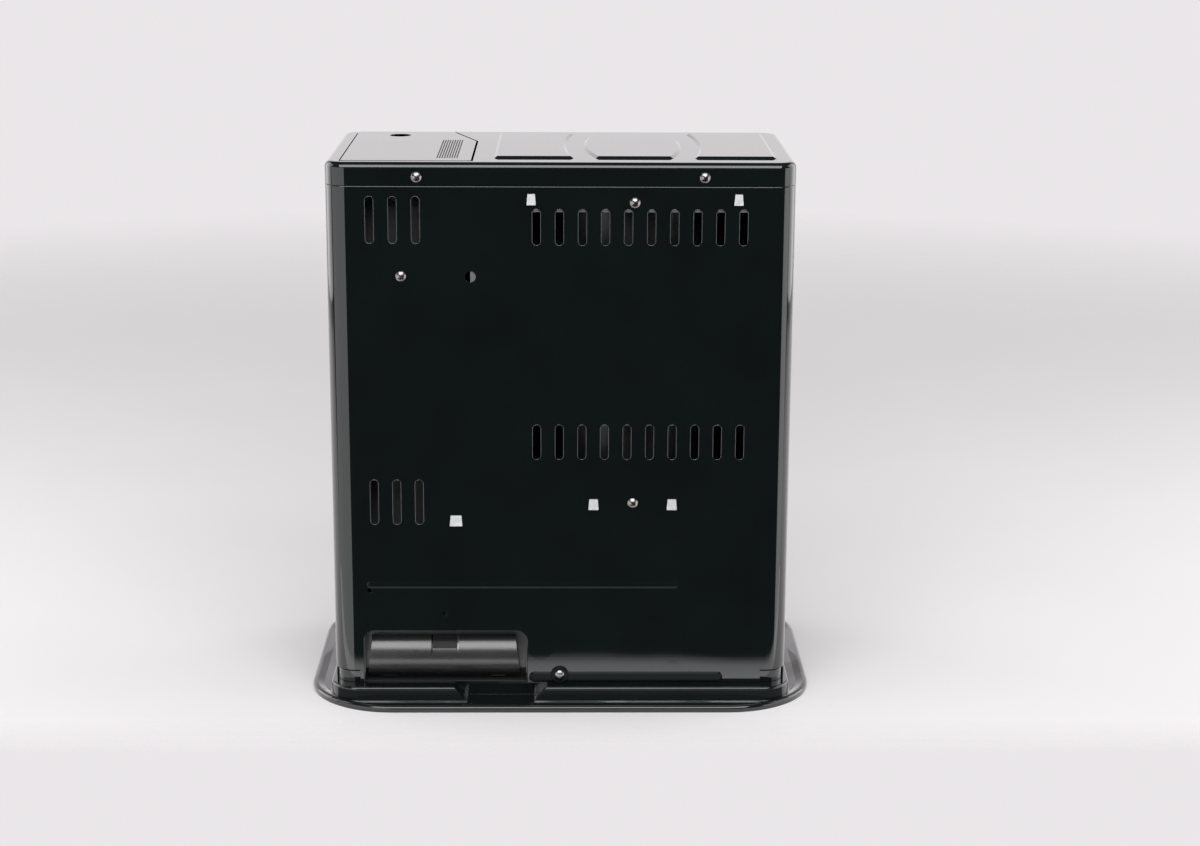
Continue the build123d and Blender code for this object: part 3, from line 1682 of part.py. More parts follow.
def make_glass():
    at = (burner_x, burner_y)
    low = burner_bottom() + 1.5
    return tube("z", at, (low, glass_top), glass_radius, glass_radius - glass_wall)


def make_burner_top_ring():
    """Ring that caps the glass, with three arms down to the flame spreader."""
    at = (burner_x, burner_y)
    low = glass_top + 0.3
    ring = tube("z", at, (low, low + 1.0), glass_radius + 3, spreader_radius + 2)
    ring += tube("z", at, (low - 5, low + top_ring_height), glass_radius + 3, glass_radius + 1.6)
    for index in range(3):
        arm = block((flame_inner_radius, spreader_radius + 4), (-3, 3), (low, low + 1.0))
        ring += Pos(burner_x, burner_y) * Rot(0, 0, index * 120 + 30) * arm
    hub = rod("z", at, (low, low + 1.0), flame_inner_radius + 2)
    return ring + hub


def make_flame_spreader():
    """Dished disc over the flame tubes, carried by the top ring's hub."""
    at = (burner_x, burner_y)
    low = flame_tube_top + 4
    profile = make_face(
        Polyline(
            (0, low + 6),
            (spreader_radius - 16, low + 6),
            (spreader_radius, low),
            (spreader_radius, low + 1),
            (spreader_radius - 15.6, low + 7),
            (0, low + 7),
            close=True,
        )
    )
    disc = Pos(burner_x, burner_y) * revolve(Plane.XZ * profile, Axis.Z)
    return disc + rod("z", at, (low + 6, glass_top + 0.3), 4)


def make_burner_handle():
    """Wire loop with a coiled-wire grip, used to turn the burner on its seat."""
    low = burner_bottom() + base_height - 4
    start = seat_plate_radius - 2.4
    wire = 1.6
    points = [
        (start, -9, low),
        (start + handle_reach, -9, low),
        (start + handle_reach, 9, low),
        (start, 9, low),
    ]
    path = FilletPolyline(*points, radius=4)
    loop = sweep(Plane(origin=points[0], z_dir=(1, 0, 0)) * Circle(wire), path)
    grip = rod("y", (start + handle_reach, low), (-5, 5), 3.2)
    return Pos(burner_x, burner_y) * Rot(0, 0, handle_angle) * (loop + grip)


# Guard grille


def guard_rod_x():
    return window_left + guard_rod_inset


def guard_latch_x():
    return window_right - guard_rod_inset


def guard_y():
    return body_front + guard_rod_depth


def make_guard():
    """Bowed wires between two upright rods; the left rod turns in the front frame."""
    left = guard_rod_x()
    right = guard_latch_x()
    y = guard_y()
    ends = (window_bottom - sheet + 0.2, window_top + sheet - 0.2)
    guard = rod("z", (left, y), ends, guard_rod_radius)
    low = window_bottom + guard_edge
    high = window_top - guard_edge
    guard += rod("z", (right, y), (low - 8, high + 8), guard_rod_radius)
    front = y - guard_bow
    for index in range(guard_rows):
        z = low + (high - low) * index / (guard_rows - 1)
        bend_left = (left + guard_lead, front, z)
        bend_right = (right - guard_lead, front, z)
        points = [(left, y, z), bend_left, bend_right, (right, y, z)]
        path = FilletPolyline(*points, radius=10)
        direction = Vector(*points[1]) - Vector(*points[0])
        section = Plane(origin=points[0], z_dir=direction) * Circle(guard_wire_radius)
        guard += sweep(section, path)
    for share in (0.27, 0.73):
        x = left + (right - left) * share
        guard += rod("z", (x, front + 2 * guard_wire_radius - 0.4), (low - 5, high + 5), guard_wire_radius)
    return guard


# Battery compartment


def battery_span():
    """X range of the two cells, end to end, behind the cover."""
    middle = (recess_left + recess_right) / 2 + cell_shift
    return (middle - cell_length, middle + cell_length)


def case_span():
    low, high = battery_span()
    return (low - contact_space, high + contact_space)


def make_battery_case():
    """Trough that holds two cells end to end; its wider mouth stands behind the casing's recess."""
    low, high = case_span()
    front = cell_y - cell_radius - cell_clearance
    roof = cell_z + cell_radius + cell_clearance
    bottom = chassis_top
    wall = case_mouth_wall
    x = (low - case_wall, high + case_wall)
    mouth_x = (recess_right + 0.8, recess_left - 0.8)
    mouth_top = recess_top - 0.8
    case = block(x, (front - case_wall, case_mouth_y), (bottom, roof + case_wall))
    back_y = back_inside - joint_gap
    outer_x = (mouth_x[0] - wall, mouth_x[1] + wall)
    case += block(outer_x, (case_mouth_y - wall, back_y), (bottom, mouth_top + wall))
    trough = rod("x", (cell_y, cell_z), (low, high), cell_radius + cell_clearance)
    throat_z = (cell_z - cell_radius - cell_clearance, roof)
    ledge_y = case_mouth_y - case_ledge
    trough += block((low, high), (cell_y, back_inside + 1), throat_z)
    trough &= block((low - 1, high + 1), (front - 1, ledge_y), (0, body_height))
    cells = battery_span()
    throat_x = (cells[0] - cell_clearance, cells[1] + cell_clearance)
    case -= trough + block(throat_x, (cell_y, back_inside + 1), throat_z)
    case -= block(mouth_x, (case_mouth_y, back_inside + 1), (bottom - 1, mouth_top))
    rib = case_wall * 2
    for start in (x[0] + 6, (x[0] + x[1]) / 2 - rib / 2, x[1] - 6 - rib):
        case -= block((start, start + rib), (front - case_wall - 1, front - 0.4), (bottom + 6, roof - 6))
    return case


def make_cells():
    """Two cylindrical cells in a row, each with its contact nub."""
    low, high = battery_span()
    cells = Part()
    for start in (low, low + cell_length):
        body = rod("x", (cell_y, cell_z), (start + 0.1, start + cell_length - 2.0), cell_radius)
        body = chamfer(body.edges().filter_by(GeomType.CIRCLE), 0.8)
        end = start + cell_length
        cells += body + rod("x", (cell_y, cell_z), (end - 2.5, end - 0.2), 4.5)
    return cells


def make_contacts():
    """Spring plate at the cells' flat end and contact plate at the nub end."""
    low, high = case_span()
    cells = battery_span()
    contacts = Part()
    for x, tip in ((low, cells[0]), (high - 0.6, cells[1])):
        y = (cell_y - 8, cell_y + contact_radius)
        contacts += block((x, x + 0.6), y, (cell_z - 9, cell_z + 9))
    contacts += rod("x", (cell_y, cell_z), (low + 0.6, cells[0]), contact_radius)
    contacts += rod("x", (cell_y, cell_z), (cells[1] - 0.1, high - 0.6), contact_radius - 0.4)
    return contacts


def cover_profile(shrink, back):
    """The cover seen along X: its round front and the short straight lip behind its upper edge."""
    half = math.radians(cover_angle)
    radius = cover_radius - shrink
    z = cover_radius * math.sin(half) - shrink
    y = math.sqrt(radius**2 - z**2)
    arc = ThreePointArc((y, -z), (radius, 0), (y, z))
    lip = Polyline((y, z), (back, z), (y, -z))
    return make_face([arc, lip])


def cover_blank(shrink, end_shrink, back):
    """The cover as a solid that tapers towards its top; the two shrinks give its hollow."""
    x = (recess_right + cover_gap + cover_end_step + end_shrink, recess_left - cover_gap - end_shrink)
    outline = Plane.YZ.offset(x[0]) * Pos(cover_y(), cell_z) * cover_profile(shrink, back)
    blank = extrude(outline, amount=x[1] - x[0])
    low = cell_z - cover_radius - 1
    high = cell_z + cover_radius + 1
    for side, edge in ((1, x[0]), (-1, x[1])):
        out = edge - side
        crest = edge + side * cover_draft
        wedge = Polyline((out, low), (edge, low), (crest, high), (out, high), close=True)
        blank -= through(make_face(wedge), (cover_y() - 10, body_back + 20))
    return blank


def cover_y():
    return cell_y


def make_battery_cover():
    """Curved snap-on cover: hollow, closed at its tapering ends, with the latch at its top."""
    x = (recess_right + cover_gap + cover_end_step, recess_left - cover_gap)
    back = case_mouth_y + cover_floor_gap - cover_y()
    cover = cover_blank(0, 0, back) - cover_blank(cover_wall, cover_end_wall, back - 1)
    cover -= latch_slits()
    cover += latch_tongue()
    hinge_y, hinge_z = cover_hinge()
    for start in (x[0] + 14, x[1] - 26):
        cover += rod("x", (hinge_y, hinge_z), (start, start + 12), 1.6)
        cover += block((start, start + 12), (hinge_y, hinge_y + 3), (hinge_z - 1.2, hinge_z + 1.4))
    return cover


def latch_x():
    return (recess_left + recess_right) / 2 + 0.7


def latch_top():
    return cell_z + cover_radius * math.sin(math.radians(cover_angle))


def latch_slits():
    """The two slits that free the latch tongue from the cover."""
    middle = latch_x()
    half = latch_width / 2
    top = latch_top()
    cut = Part()
    for side in (-1, 1):
        start = sorted((middle + side * half, middle + side * (half + latch_slit)))
        cut += block(start, (cover_y(), body_back + 20), (top - latch_height, top + 5))
    return cut


def latch_tongue():
    """The thicker tongue between the slits, with a pocket for a finger under its top lip."""
    middle = latch_x()
    half = latch_width / 2
    top = latch_top()
    y = cover_y() + cover_radius * math.cos(math.radians(cover_angle))
    body = Plane.YZ.offset(middle - half) * Pos(cover_y(), cell_z) * cover_profile(0, 1)
    tongue = extrude(body, amount=latch_width)
    core = rod("x", (cover_y(), cell_z), (middle - half, middle + half), cover_radius - latch_thickness)
    tongue -= core
    tongue &= block((middle - half, middle + half), (y, body_back + 20), (top - latch_height, top))
    pocket_top = top - latch_lip
    pocket = block(
        (middle - half + 1, middle + half - 1),
        (y + 1.5, body_back + 20),
        (pocket_top - latch_pocket_height, pocket_top),
    )
    inner = rod("x", (cover_y(), cell_z), (middle - half, middle + half), cover_radius - latch_pocket_depth)
    return tongue - (pocket - inner)


def cover_hinge():
    """Y and Z of the cover's hinge line, at its lower edge."""
    half = math.radians(cover_angle)
    return (cover_y() + cover_radius * math.cos(half) - 2.4, cell_z - cover_radius * math.sin(half) + 0.2)


# Hand grips


def make_grip(side):
    """Moulded hand grip: a pocket through the side wall under a lip that thins downwards."""
    wall = side_x
    half_length = grip_length / 2
    half_height = grip_pocket_height / 2
    low = grip_z - half_height - 3
    lip_top = grip_z + half_height + 2.5
    profile = Polyline(
        (wall, low),
        (wall + 0.4, low),
        (wall + grip_lip, lip_top - 1),
        (wall + grip_lip, lip_top),
        (wall + 1.2, lip_top + 1),
        (wall + 1.2, grip_screw_z + 6),
        (wall, grip_screw_z + 6),
        close=True,
    )
    flange = through(make_face(profile), (grip_y - half_length, grip_y + half_length))
    corner = flange.edges().filter_by(Axis.X).group_by(Axis.Z)[-1]
    flange = chamfer(corner, 1.0)
    depth = wall - grip_pocket_depth
    pocket = block(
        (depth, wall + 0.1),
        (grip_y - half_length + 3 * grip_wall, grip_y + half_length - 3 * grip_wall),
        (grip_z - half_height + 0.4, grip_z + half_height - 0.4),
    )
    inside = block(
        (depth + grip_wall, wall + 5),
        (grip_y - half_length + 4 * grip_wall, grip_y + half_length - 4 * grip_wall),
        (grip_z - half_height + grip_wall, grip_z + half_height - grip_wall),
    )
    grip = flange + pocket - inside
    grip -= rod("x", (grip_y, grip_screw_z), (wall - 1, wall + 3), screw_radius + screw_clearance)
    if side < 0:
        grip = mirror(grip, Plane.YZ)
    return grip


# Fasteners


def screw(axis_turn, at):
    """A domed screw whose head sits on the surface at the point and whose shank runs inwards."""
    dome = screw_head_height - screw_edge_height
    sphere = (screw_head_radius**2 + dome**2) / (2 * dome)
    head = rod("z", (0, 0), (0, screw_head_height), screw_head_radius)
    head &= Pos(0, 0, screw_head_height - sphere) * Sphere(sphere)
    half = screw_cross_length / 2
    width = screw_cross_width / 2
    z = (screw_head_height - screw_cross_depth, screw_head_height + 1)
    cross = block((-half, half), (-width, width), z) + block((-width, width), (-half, half), z)
    cross = Rot(0, 0, 45) * cross
    shank = rod("z", (0, 0), (-screw_length, 0), screw_radius)
    return Pos(*at) * axis_turn * (head - cross + shank)


def make_back_screws():
    turn = Rot(-90, 0, 0)
    return Part() + [screw(turn, (x, seat, z)) for x, z, seat in back_screws()]


def make_grip_screws():
    screws = []
    for side in (-1, 1):
        screws.append(screw(Rot(0, 90 * side, 0), (side * (side_x + 1.2), grip_y, grip_screw_z)))
    return Part() + screws


def make_panel_screws():
    turn = Rot(90, 0, 0)
    return Part() + [screw(turn, (x, panel_front, z)) for x, z in panel_screws()]


def build():
    os.makedirs("parts", exist_ok=True)
    pieces = {
        "base_tray": make_base_tray,
        "rear_side_casing": make_casing,
        "front_frame": make_front_frame,
        "top_plate": make_top_plate,
        "tank_lid": make_tank_lid,
        "lid_hinge_pin": make_lid_pin,
        "upper_heat_shield": make_upper_shield,
        "burner_deck": make_burner_deck,
        "reflector": make_reflector,
        "tank_bay_partition": make_partition,
        "tank_guide": make_tank_guide,
        "chassis_plate": make_chassis_plate,
        "fixed_tank": make_sump,
        "tank_receiver": make_receiver,
        "fuel_strainer": make_strainer,
        "cartridge_tank": make_cartridge_tank,
        "tank_handle": make_bail,
        "tank_cap": make_tank_cap,
        "cap_gasket": make_cap_gasket,
        "cap_valve": make_valve_plunger,
        "draft_tube": make_draft_tube,
        "wick_tube": make_wick_tube,
        "burner_seat": make_burner_seat,
        "wick": make_wick,
        "wick_sleeve": make_wick_sleeve,
        "wick_pinion": make_pinion,
        "wick_shaft": make_wick_shaft,
        "ratchet_wheel": make_ratchet_wheel,
        "wick_knob": make_knob,
        "return_spring": make_return_spring,
        "mechanism_bracket": make_mechanism_bracket,
        "control_panel": make_control_panel,
        "gauge_window": make_gauge_window,
        "gauge_float": make_gauge_float,
        "extinguish_button": make_extinguish_button,
        "button_stem": make_button_stem,
        "release_lever": make_release_lever,
        "release_lever_pin": make_release_pin,
        "ignition_lever": make_ignition_lever,
        "lever_finger_cap": make_lever_cap,
        "lever_bearings": make_lever_bearings,
        "igniter_holder": make_igniter_holder,
        "igniter_coil": make_igniter_coil,
        "trip_seat": make_trip_seat,
        "trip_weight": make_trip_weight,
        "burner_base": make_burner_base,
        "outer_flame_tube": make_outer_flame_tube,
        "inner_flame_tube": make_inner_flame_tube,
        "flame_tube_pins": make_cross_pins,
        "glass_chimney": make_glass,
        "burner_top_ring": make_burner_top_ring,
        "flame_spreader": make_flame_spreader,
        "burner_handle": make_burner_handle,
        "guard_grille": make_guard,
        "battery_case": make_battery_case,
        "battery_cells": make_cells,
        "battery_contacts": make_contacts,
        "battery_cover": make_battery_cover,
    }
    for name, make in pieces.items():
        save(name, make())
    save("hand_grips", Part() + [make_grip(1), make_grip(-1)])
    fasteners = [make_back_screws(), make_grip_screws(), make_panel_screws(), make_flange_nuts()]
    save("screws_and_nuts", Part() + fasteners)


build()
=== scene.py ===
import json
import math

import bmesh
import bpy
from mathutils import Matrix, Vector


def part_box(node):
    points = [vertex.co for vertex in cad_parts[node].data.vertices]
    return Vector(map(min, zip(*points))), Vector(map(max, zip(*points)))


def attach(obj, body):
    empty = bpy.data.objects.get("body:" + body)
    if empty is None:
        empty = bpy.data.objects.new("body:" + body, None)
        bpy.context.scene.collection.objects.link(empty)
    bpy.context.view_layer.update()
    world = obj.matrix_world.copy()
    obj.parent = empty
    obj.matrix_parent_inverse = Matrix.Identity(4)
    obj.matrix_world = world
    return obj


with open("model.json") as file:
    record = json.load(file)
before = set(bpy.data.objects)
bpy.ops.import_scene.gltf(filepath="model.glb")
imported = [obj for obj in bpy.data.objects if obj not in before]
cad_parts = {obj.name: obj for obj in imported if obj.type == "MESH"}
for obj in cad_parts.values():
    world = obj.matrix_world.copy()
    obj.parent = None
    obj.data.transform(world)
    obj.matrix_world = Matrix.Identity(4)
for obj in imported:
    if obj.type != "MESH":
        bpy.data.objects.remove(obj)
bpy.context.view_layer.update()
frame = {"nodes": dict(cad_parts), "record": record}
NODES = frame["nodes"]
MM = 0.001

# Camera of the photograph: it looks at the back of the heater from slightly above.
PHOTO_WIDTH = 1200
FOCAL_PIXELS = 2356.4
SENSOR_WIDTH = 36.0
CAMERA_PLACE = Vector((-4.65, 2020.5, 725.3)) * MM
CAMERA_YAW = -0.0148
CAMERA_PITCH = 0.2467
CAMERA_ROLL = 0.0048
CAMERA_REACH = 50.0

# Floor: it fades out over FLOOR_FADE before FLOOR_FRONT, on the camera's side, and far away all round.
FLOOR_RADIUS = 2.6
FLOOR_FRONT = 0.235
FLOOR_FADE = 0.075
FLOOR_KEPT = 0.35 * FLOOR_RADIUS
FLOOR_COLOUR = (0.80, 0.775, 0.79)

# Surroundings: levels of the sky, and the directions over which they change.
BACKGROUND_COLOUR = (0.83, 0.80, 0.82)
SKY_LEVEL = 0.04
SKY_FILL = 0.5
DARK_LEVEL = 0.01
HORIZON = (-0.12, 0.06)
FAR_SIDE = (-0.05, -0.35)
HAZE = (0.3, 0.6)

# Lamps in metres: name, place, target, width, height, radiance.
HEATER_MIDDLE = (0.0, 0.0, 0.25)
SOFTBOXES = (
    ("side_softbox", (1.45, -0.35, 0.75), HEATER_MIDDLE, 1.3, 1.5, 1.5),
    ("side_softbox", (-1.45, -0.35, 0.75), HEATER_MIDDLE, 1.3, 1.5, 1.5),
    ("left_softbox", (1.09, 1.04, 0.0), (0.15, 0.08, 0.0), 1.9, 1.4, 1.0),
    ("right_softbox", (-1.39, 0.61, 0.0), (-0.15, 0.08, 0.0), 0.76, 1.4, 1.4),
    ("key_softbox", (0.0, 1.35, 1.55), HEATER_MIDDLE, 2.1, 1.3, 3.4),
)

# Bright bands of the table top on the camera's side: from Y, to Y, radiance.
STRIPS = ((0.168, 0.205, 0.75), (0.205, 0.213, 0.5), (0.213, 0.221, 0.25))
STRIP_WIDTH = 1.1
STRIP_HEIGHT = 0.001
STRIP_TARGET_HEIGHT = 1.0

# Finishes are written in linear colour. The middle of a noise's range is what gets spread.
NOISE_LOW = 0.3
NOISE_HIGH = 0.7
SMOOTH_ANGLE = math.radians(32)
ENAMEL_EDGE = 0.45 * MM
ENAMEL_EDGE_SAMPLES = 6
FOOT_WAVE = 0.8 * MM
FOOT_WAVE_SIZE = 85.0 * MM
FOOT_WAVE_TOP = 100.0 * MM
FOOT_WAVE_FADE = 50.0 * MM
ZINC_CRYSTALS = 260.0
ZINC_BRIGHT = ((0.80, 0.81, 0.82), (0.88, 0.89, 0.90))
# Inside the casing the zinc takes darker colours: painted shade, darkest below the chassis top.
ZINC_SHADED = ((0.17, 0.175, 0.18), (0.22, 0.225, 0.23))
ZINC_DEEP_SHADE = (0.03, 0.031, 0.032)
REFLECTOR_FRONT = (0.86, 0.865, 0.87)
# The reflector's back is painted dark: painted shade.
REFLECTOR_SHADED_BACK = (0.17, 0.175, 0.18)
REFLECTOR_TURN = (-0.02, 0.1)
CELL_COUNT = 2.0
CELL_GREEN = (0.010, 0.030, 0.026)
CELL_SILVER = (0.55, 0.56, 0.56)
WICK_BURNT = 12.0 * MM

# Places that are dulled, or darkened in colour, to look as they do in the photograph, and how softly each one
# ends: painted shade.
PLAIN_SPECULAR = 0.5
DULLED_SHINE = 0.1
CASING_BACK = 116.0 * MM
BEADS_RISE = (CASING_BACK + 0.02 * MM, CASING_BACK + 0.12 * MM)
BEADS_TOP = 115.0 * MM
BEADS_FADE = 10.0 * MM
TRAY_WALL_Y = (121.0 * MM, 130.0 * MM)
TRAY_WALL_Z = (5.0 * MM, 13.5 * MM)
TRAY_WALL_SOFT = 1.0 * MM
FINGER_HOLLOW_X = (-11.3 * MM, 9.7 * MM)
FINGER_HOLLOW_Z = (47.0 * MM, 54.0 * MM)
FINGER_HOLLOW_SOFT_X = 0.2 * MM
FINGER_HOLLOW_SOFT_Z = 0.5 * MM
CASE_LEDGE_TOP = 24.5 * MM
CASE_LEDGE_SOFT = 1.5 * MM
# Where the zinc changes from its own bright colour to painted shade inside, and the height below which that
# painted shade is darkest.
ZINC_OUTSIDE = (CASING_BACK - 0.3 * MM, CASING_BACK)
CHASSIS_TOP = (18.0 * MM, 19.0 * MM)


class Shader:
    """One node material, built up a part at a time on a Principled shader."""

    def __init__(self, name):
        self.material = bpy.data.materials.new(name)
        self.material.use_nodes = True
        self.tree = self.material.node_tree
        self.tree.nodes.clear()
        output = self.add("ShaderNodeOutputMaterial")
        self.surface = self.add("ShaderNodeBsdfPrincipled")
        self.link(self.surface.outputs["BSDF"], output.inputs["Surface"])
        self.place = self.add("ShaderNodeTexCoord").outputs["Object"]
        self.last_bump = None

    def add(self, kind, **values):
        node = self.tree.nodes.new(kind)
        for key, value in values.items():
            if key in node.inputs:
                node.inputs[key].default_value = value
            else:
                setattr(node, key, value)
        return node

    def link(self, start, end):
        self.tree.links.new(start, end)

    def set(self, **values):
        names = {key.replace(" ", "_").lower(): key for key in self.surface.inputs.keys()}
        for key, value in values.items():
            self.surface.inputs[names[key]].default_value = value
        return self

    def split(self, source=None):
        """The X, Y and Z of a vector, or of the place where none is given."""
        parts = self.add("ShaderNodeSeparateXYZ")
        self.link(self.place if source is None else source, parts.inputs["Vector"])
        return [parts.outputs[name] for name in "XYZ"]

    def stretched(self, scale):
        mapping = self.add("ShaderNodeMapping")
        mapping.inputs["Scale"].default_value = scale
        self.link(self.place, mapping.inputs["Vector"])
        return mapping.outputs["Vector"]

    def noise(self, size, detail=3.0, stretch=None):
        """Cloudy noise whose patches are about size metres across."""
        texture = self.add("ShaderNodeTexNoise", Scale=1.0 / size, Detail=detail)
        source = self.place if stretch is None else self.stretched(stretch)
        self.link(source, texture.inputs["Vector"])
        return texture.outputs["Fac"]

    def spread(self, source, low, high, start=NOISE_LOW, end=NOISE_HIGH):
        """The source's range from start to end, spread from low to high."""
        scaled = self.add("ShaderNodeMapRange")
        scaled.inputs["From Min"].default_value = start
        scaled.inputs["From Max"].default_value = end
        scaled.inputs["To Min"].default_value = low
        scaled.inputs["To Max"].default_value = high
        self.link(source, scaled.inputs["Value"])
        return scaled.outputs["Result"]

    def colours(self, source, stops):
        ramp = self.add("ShaderNodeValToRGB")
        elements = ramp.color_ramp.elements
        while len(elements) < len(stops):
            elements.new(1.0)
        for element, (position, colour) in zip(elements, stops):
            element.position = position
            element.color = (*colour, 1.0)
        self.link(source, ramp.inputs["Fac"])
        return ramp.outputs["Color"]

    def shades(self, source, dark, light):
        """Colour that goes from dark to light over the middle of the source's range."""
        return self.colours(source, [(NOISE_LOW, dark), (NOISE_HIGH, light)])

    def mixed(self, factor, first, second):
        """Colour that goes from the first to the second; either may be a plain colour or an output."""
        mix = self.add("ShaderNodeMix", data_type="RGBA")
        self.link(factor, mix.inputs["Factor"])
        for name, colour in (("A", first), ("B", second)):
            socket = next(each for each in mix.inputs if each.name == name and each.type == "RGBA")
            if isinstance(colour, tuple):
                socket.default_value = (*colour, 1.0)
            else:
                self.link(colour, socket)
        return next(each for each in mix.outputs if each.type == "RGBA")

    def tinted(self, source, colour, change):
        """Base colour that goes a little darker and lighter with the source."""
        dark = tuple(channel * (1.0 - change) for channel in colour)
        light = tuple(min(1.0, channel * (1.0 + change)) for channel in colour)
        self.link(self.shades(source, dark, light), self.surface.inputs["Base Color"])
        return self

    def rough(self, source, low, high):
        self.link(self.spread(source, low, high), self.surface.inputs["Roughness"])
        return self

    def soft_edges(self, radius):
        """Shades sharp edges as if they were rounded to that radius in metres."""
        rounded = self.add("ShaderNodeBevel", samples=ENAMEL_EDGE_SAMPLES, Radius=radius)
        self.last_bump = rounded.outputs["Normal"]
        return self

    def bump(self, source, height):
        """Relief of that height in metres, laid over any earlier relief."""
        relief = self.add("ShaderNodeBump", Distance=height)
        relief.inputs["Strength"].default_value = 1.0
        self.link(source, relief.inputs["Height"])
        if self.last_bump:
            self.link(self.last_bump, relief.inputs["Normal"])
        self.last_bump = relief.outputs["Normal"]
        self.link(self.last_bump, self.surface.inputs["Normal"])
        return self


def multiplied(shader, sources):
    result = sources[0]
    for source in sources[1:]:
        product = shader.add("ShaderNodeMath", operation="MULTIPLY")
        shader.link(result, product.inputs[0])
        shader.link(source, product.inputs[1])
        result = product.outputs["Value"]
    return result


def between(shader, source, low, high, soft):
    """1 between the two values and 0 outside, with a soft change."""
    rise = shader.spread(source, 0.0, 1.0, low - soft, low)
    fall = shader.spread(source, 1.0, 0.0, high, high + soft)
    return multiplied(shader, [rise, fall])


def foot_waves(shader):
    """Shallow waves in the sheet, strongest at its stamped lower edge."""
    height = shader.split()[2]
    share = shader.spread(height, 1.0, 0.0, FOOT_WAVE_TOP - FOOT_WAVE_FADE, FOOT_WAVE_TOP)
    patches = shader.noise(FOOT_WAVE_SIZE, detail=0.0, stretch=(1.0, 1.0, 0.5))
    return multiplied(shader, [shader.spread(patches, -1.0, 1.0), share])


def casing_beads(shader, x, y, z):
    """Marks what stands out low on the casing's back: its pressed beads and the screw boss, where the shine
    is taken away as painted shade.
    """
    raised = shader.spread(y, 0.0, 1.0, *BEADS_RISE)
    low = shader.spread(z, 1.0, 0.0, BEADS_TOP, BEADS_TOP + BEADS_FADE)
    return multiplied(shader, [raised, low])


def tray_wall(shader, x, y, z):
    """Marks the upright wall of the tray's seat at the back, where the shine is taken away as painted shade.
    """
    deep = between(shader, y, *TRAY_WALL_Y, TRAY_WALL_SOFT)
    return multiplied(shader, [deep, between(shader, z, *TRAY_WALL_Z, TRAY_WALL_SOFT)])


def finger_hollow(shader, x, y, z):
    """Marks the finger hollow of the battery cover's latch, where the shine is taken away as painted shade.
    """
    low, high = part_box("battery_cover")
    middle = (low.x + high.x) / 2
    sides = [middle + value for value in FINGER_HOLLOW_X]
    wide = between(shader, x, *sides, FINGER_HOLLOW_SOFT_X)
    return multiplied(shader, [wide, between(shader, z, *FINGER_HOLLOW_Z, FINGER_HOLLOW_SOFT_Z)])


def under_cover(shader, x, y, z):
    """Marks the ledge of the battery case under the cover and the cover's own lower edge, where the shine is
    taken away as painted shade.
    """
    return between(shader, z, 0.0, CASE_LEDGE_TOP, CASE_LEDGE_SOFT)


def dulled(shader, marks):
    """Takes the shine away where one of the marks is 1, so that these places render dark: painted shade."""
    x, y, z = shader.split()
    kept = [shader.spread(mark(shader, x, y, z), 1.0, DULLED_SHINE, 0.0, 1.0) for mark in marks]
    shine = multiplied(shader, kept)
    shader.link(shine, shader.surface.inputs["Coat Weight"])
    specular = shader.spread(shine, 0.0, PLAIN_SPECULAR, 0.0, 1.0)
    shader.link(specular, shader.surface.inputs["Specular IOR Level"])


def enamel(name, colour, low, high, dull):
    """Gloss stoved enamel: waves in the sheet, orange peel, soft cut edges, and dull where that mark is 1, as
    painted shade.
    """
    shader = Shader(name)
    shader.soft_edges(ENAMEL_EDGE)
    shader.tinted(shader.noise(0.06), colour, change=0.12)
    shader.rough(shader.noise(0.035, detail=5.0), low, high)
    shader.bump(shader.noise(0.15, detail=1.0), height=0.6 * MM)
    shader.bump(foot_waves(shader), FOOT_WAVE)
    shader.bump(shader.noise(0.03, detail=1.0), height=0.05 * MM)
    shader.bump(shader.noise(0.0016, detail=2.0), height=0.0015 * MM)
    shader.set(ior=1.5, coat_weight=1.0, coat_roughness=0.03)
    dulled(shader, [dull])
    return shader.material


def zinc():
    """Zinc-plated sheet with faint crystals: bright outside, and painted shade inside the casing that is
    darkest below the chassis top.
    """
    shader = Shader("zinc_steel")
    cells = shader.add("ShaderNodeTexVoronoi", Scale=ZINC_CRYSTALS)
    shader.link(shader.place, cells.inputs["Vector"])
    bright = shader.shades(cells.outputs["Distance"], *ZINC_BRIGHT)
    # Painted shade: darker zinc colours for the parts inside the casing.
    dull = shader.shades(cells.outputs["Distance"], *ZINC_SHADED)
    y, z = shader.split()[1:]
    outside = shader.spread(y, 0.0, 1.0, *ZINC_OUTSIDE)
    above = shader.spread(z, 0.0, 1.0, *CHASSIS_TOP)
    # Painted shade inside the casing, darkest below the chassis top.
    inside = shader.mixed(above, ZINC_DEEP_SHADE, dull)
    shader.link(shader.mixed(outside, inside, bright), shader.surface.inputs["Base Color"])
    shader.rough(shader.noise(0.004, detail=4.0), low=0.34, high=0.5)
    shader.bump(shader.noise(0.0012, detail=2.0, stretch=(1.0, 1.0, 0.12)), height=0.008 * MM)
    shader.set(metallic=0.35)
    return shader.material


def reflector_metal():
    """Polished on its front side; rougher on its back, whose colour is painted dark as painted shade."""
    shader = Shader("bright_reflector")
    normal = shader.add("ShaderNodeTexCoord").outputs["Normal"]
    back = shader.spread(shader.split(normal)[1], 0.0, 1.0, *REFLECTOR_TURN)
    shade = shader.colours(back, [(0.0, REFLECTOR_FRONT), (1.0, REFLECTOR_SHADED_BACK)])
    shader.link(shade, shader.surface.inputs["Base Color"])
    shader.link(shader.spread(back, 0.1, 0.45, 0.0, 1.0), shader.surface.inputs["Roughness"])
    shader.bump(shader.noise(0.08, detail=1.0), height=0.2 * MM)
    shader.bump(shader.noise(0.0007, detail=2.0, stretch=(0.08, 0.08, 1.0)), height=0.003 * MM)
    shader.set(metallic=1.0)
    return shader.material


